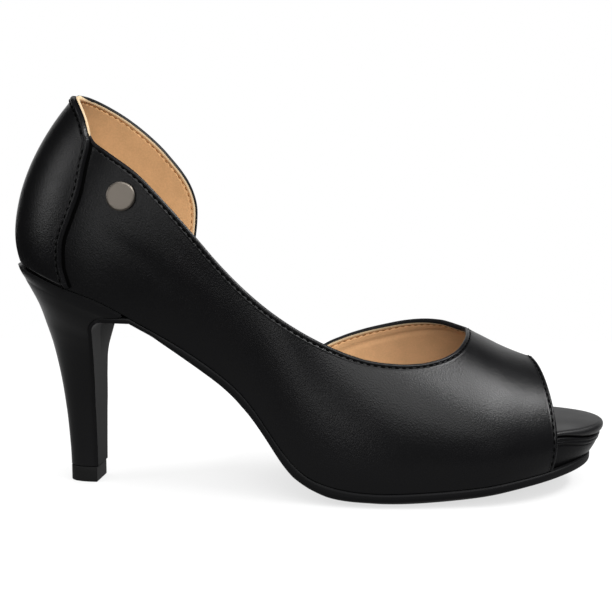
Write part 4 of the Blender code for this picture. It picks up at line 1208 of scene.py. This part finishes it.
def heel_loops():
    """D-shaped rings from the lift up to the seat that carries the back of the shoe."""
    rows = np.arange(len(HEEL_ROWS), dtype=float)
    fine = np.linspace(0.0, rows[-1], HEEL_RINGS)
    ring = {name: curve(np.stack([rows, values], -1))(fine)[:, None] for name, values in heel_table.items()}
    angle = np.linspace(0.0, 0.5 * math.pi, D_STEPS)[None, :]
    front_x, front_z = breast_path(ring["front_run"])
    x = front_x - (front_x - ring["back_x"]) * np.sin(angle)
    y = ring["half_width"] * np.maximum(np.cos(angle), 0.0) ** D_POWER
    seat = (np.clip((fine - SEAT_FROM_ROW) / (rows[-1] - SEAT_FROM_ROW), 0.0, 1.0) ** SEAT_POWER)[:, None]
    y = y + (seat_half_width(x, ring["back_x"]) - y) * seat
    y[:, -1] = 0.0
    z = ring["back_z"] + (front_z - ring["back_z"]) * (x - ring["back_x"]) / (front_x - ring["back_x"])
    z = z + (foot_line_z(x) - GAP - z) * np.interp(fine, SEAT_TOP_ROWS, (0.0, 1.0))[:, None] ** 2
    return both_halves(x, y, z, front_z[:, 0])


heel_leather = finished_leather("heel_cover_leather_satin_black", "#09090a", roughness=0.36, grain_mm=0.6,
                                grain_depth_mm=0.02)
heel = add_piece("heel_cover", *stacked(heel_loops()), [heel_leather])
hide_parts("heel")

# The heel lift
# A D of hard black rubber that takes the wear, nailed under the heel. It is a little longer to the front
# than the heel is, and its edges are broken.
LIFT_FRONT_X = 30.7
LIFT_LENGTH = 11.3
LIFT_HALF_WIDTH = 6.3
LIFT_OUTLINE = ((6.0, 0.35), (5.9, 0.12), (5.65, 0.0), (4.0, 0.0), (2.0, 0.0), (0.5, 0.0), (0.2, 0.12),
                (0.05, 0.35), (0.0, 0.6))


def lift_loops():
    """The heel's own D at each level, set in by the table where its edges are broken."""
    z, inset = np.array(LIFT_OUTLINE).T[..., None]
    angle = np.linspace(0.0, 0.5 * math.pi, D_STEPS)[None, :]
    x = LIFT_FRONT_X - inset - (LIFT_LENGTH - 2 * inset) * np.sin(angle)
    y = (LIFT_HALF_WIDTH - inset) * np.maximum(np.cos(angle), 0.0) ** D_POWER
    return both_halves(x, y, z, z[:, 0])


lift_rubber = moulded_rubber("lift_rubber_black", "#0e0e0e", roughness=0.55)
lift = add_piece("heel_lift", *stacked(lift_loops()), [lift_rubber])
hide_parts("top_piece")

# The floor, light and camera
# A plain white table with a long soft strip over the toe, weak fills from the left and the front, and the
# photo's own view. The eye sees white paper with a soft painted shadow where the shoe stands close over it,
# and a white backdrop; only a dim part of that white lights the shoe.
TABLE = ((-0.26, -0.17), (0.26, 0.30))
WHITE = (1.0, 1.0, 1.0, 1.0)
SHADOW_REACH = 0.06
SEEN_WHITE = (0.68, 0.94)
PAINTED_BOUNCE = (0.32, 0.85)
PAINTED_BOUNCE_Y = (-0.05, 0.08)
(left, front), (right, rear) = TABLE
floor_mesh = bpy.data.meshes.new("floor")
floor_mesh.from_pydata([(left, front, 0.0), (right, front, 0.0), (right, rear, 0.0), (left, rear, 0.0)], [],
                       [(0, 1, 2, 3)])
floor = bpy.data.objects.new("floor", floor_mesh)
bpy.context.scene.collection.objects.link(floor)
# The paper's white is its glow; its own colour is grey, so that the lamps' shadows on it stay faint.
floor_paper, floor_tree, floor_shader = new_material("matt_white_paper")
floor_shader.inputs["Base Color"].default_value = linear("#5c5c5c")
floor_shader.inputs["Roughness"].default_value = 0.9
floor_shader.inputs["Emission Color"].default_value = WHITE
floor_depth = add_node(floor_tree, "SeparateXYZ", {0: add_node(floor_tree, "TexCoord").outputs["Object"]})
# Painted light: the paper glows for the shoe as bounced light, dimmer in front of it than behind.
painted_bounce_glow = add_node(floor_tree, "MapRange", {
    "Value": floor_depth.outputs["Y"], "From Min": PAINTED_BOUNCE_Y[0], "From Max": PAINTED_BOUNCE_Y[1],
    "To Min": PAINTED_BOUNCE[0], "To Max": PAINTED_BOUNCE[1]})
floor_eye = add_node(floor_tree, "LightPath").outputs["Is Camera Ray"]
# Painted shadow: near the shoe, ambient occlusion dims the paper's glow that the eye sees.
painted_contact_shadow = add_node(floor_tree, "AmbientOcclusion", {"Distance": SHADOW_REACH}, samples=16).outputs["AO"]
floor_white_with_painted_shadow = add_node(floor_tree, "MapRange", {"Value": painted_contact_shadow, "To Min": SEEN_WHITE[0],
                                                "To Max": SEEN_WHITE[1]})
floor_light = add_node(floor_tree, "MapRange", {"Value": floor_eye, "To Min": painted_bounce_glow.outputs["Result"],
                                                "To Max": floor_white_with_painted_shadow.outputs["Result"]})
floor_tree.links.new(floor_light.outputs["Result"], floor_shader.inputs["Emission Strength"])
floor_shader.inputs["Specular IOR Level"].default_value = 0.0
floor_mesh.materials.append(floor_paper)

world = bpy.data.worlds.new("studio")
world.use_nodes = True
seen = world.node_tree.nodes["Background"]
seen.inputs["Color"].default_value = WHITE
dim = add_node(world.node_tree, "Background", {"Color": WHITE, "Strength": 0.03})
eye = add_node(world.node_tree, "LightPath").outputs["Is Camera Ray"]
either = add_node(world.node_tree, "MixShader", {0: eye, 1: dim.outputs[0], 2: seen.outputs[0]})
world.node_tree.links.new(either.outputs[0], world.node_tree.nodes["World Output"].inputs["Surface"])
bpy.context.scene.world = world


def soft_light(name, spot, aim, along, size, watts):
    """Rectangular soft box at spot, facing aim, its first side lying along the given direction."""
    back = (Vector(spot) - Vector(aim)).normalized()
    first = (Vector(along) - back * back.dot(Vector(along))).normalized()
    lamp = bpy.data.lights.new(name, "AREA")
    lamp.shape = "RECTANGLE"
    lamp.size, lamp.size_y = size
    lamp.energy = watts
    light = bpy.data.objects.new(name, lamp)
    light.location = spot
    light.rotation_mode = "QUATERNION"
    light.rotation_quaternion = Matrix((first, back.cross(first), back)).transposed().to_quaternion()
    light.visible_camera = False
    bpy.context.scene.collection.objects.link(light)


soft_light("key", (0.70, -0.18, 0.90), (0.02, 0.0, 0.06), (0.25, 0.97, 0.0), (0.95, 0.20), 22.5)
soft_light("top", (-0.35, -0.05, 1.00), (0.0, 0.0, 0.06), (1.0, 0.0, 0.0), (0.40, 0.40), 2.5)
soft_light("left_fill", (-1.00, -0.34, 0.40), (-0.10, 0.0, 0.10), (0.0, 0.0, 1.0), (0.50, 0.35), 4.0)
soft_light("left_front", (-0.40, -1.00, 0.17), (-0.06, 0.0, 0.10), (0.0, 0.0, 1.0), (0.25, 0.40), 2.0)
soft_light("front", (0.15, -0.90, 0.78), (0.0, 0.0, 0.06), (1.0, 0.0, 0.0), (0.90, 0.70), 13.5)
soft_light("backdrop", (0.10, 1.30, 0.30), (0.0, 0.0, 0.10), (1.0, 0.0, 0.0), (2.6, 0.7), 4.5)

CAMERA_AZIMUTH = math.radians(2.0)
CAMERA_ELEVATION = math.radians(9.0)
CAMERA_DISTANCE = 0.600
CAMERA_LENS = 93.53
CAMERA_TARGET = Vector(place([109.36, 0.0, 67.56]))
looking = Vector((-math.sin(CAMERA_AZIMUTH) * math.cos(CAMERA_ELEVATION),
                  math.cos(CAMERA_AZIMUTH) * math.cos(CAMERA_ELEVATION), -math.sin(CAMERA_ELEVATION)))
lens = bpy.data.cameras.new("camera")
lens.lens = CAMERA_LENS
lens.sensor_width = 36.0
camera = bpy.data.objects.new("camera", lens)
camera.location = CAMERA_TARGET - looking * CAMERA_DISTANCE
camera.rotation_mode = "QUATERNION"
camera.rotation_quaternion = looking.to_track_quat("-Z", "Y")
bpy.context.scene.collection.objects.link(camera)
bpy.context.scene.camera = camera
bpy.context.scene.view_settings.view_transform = "Standard"
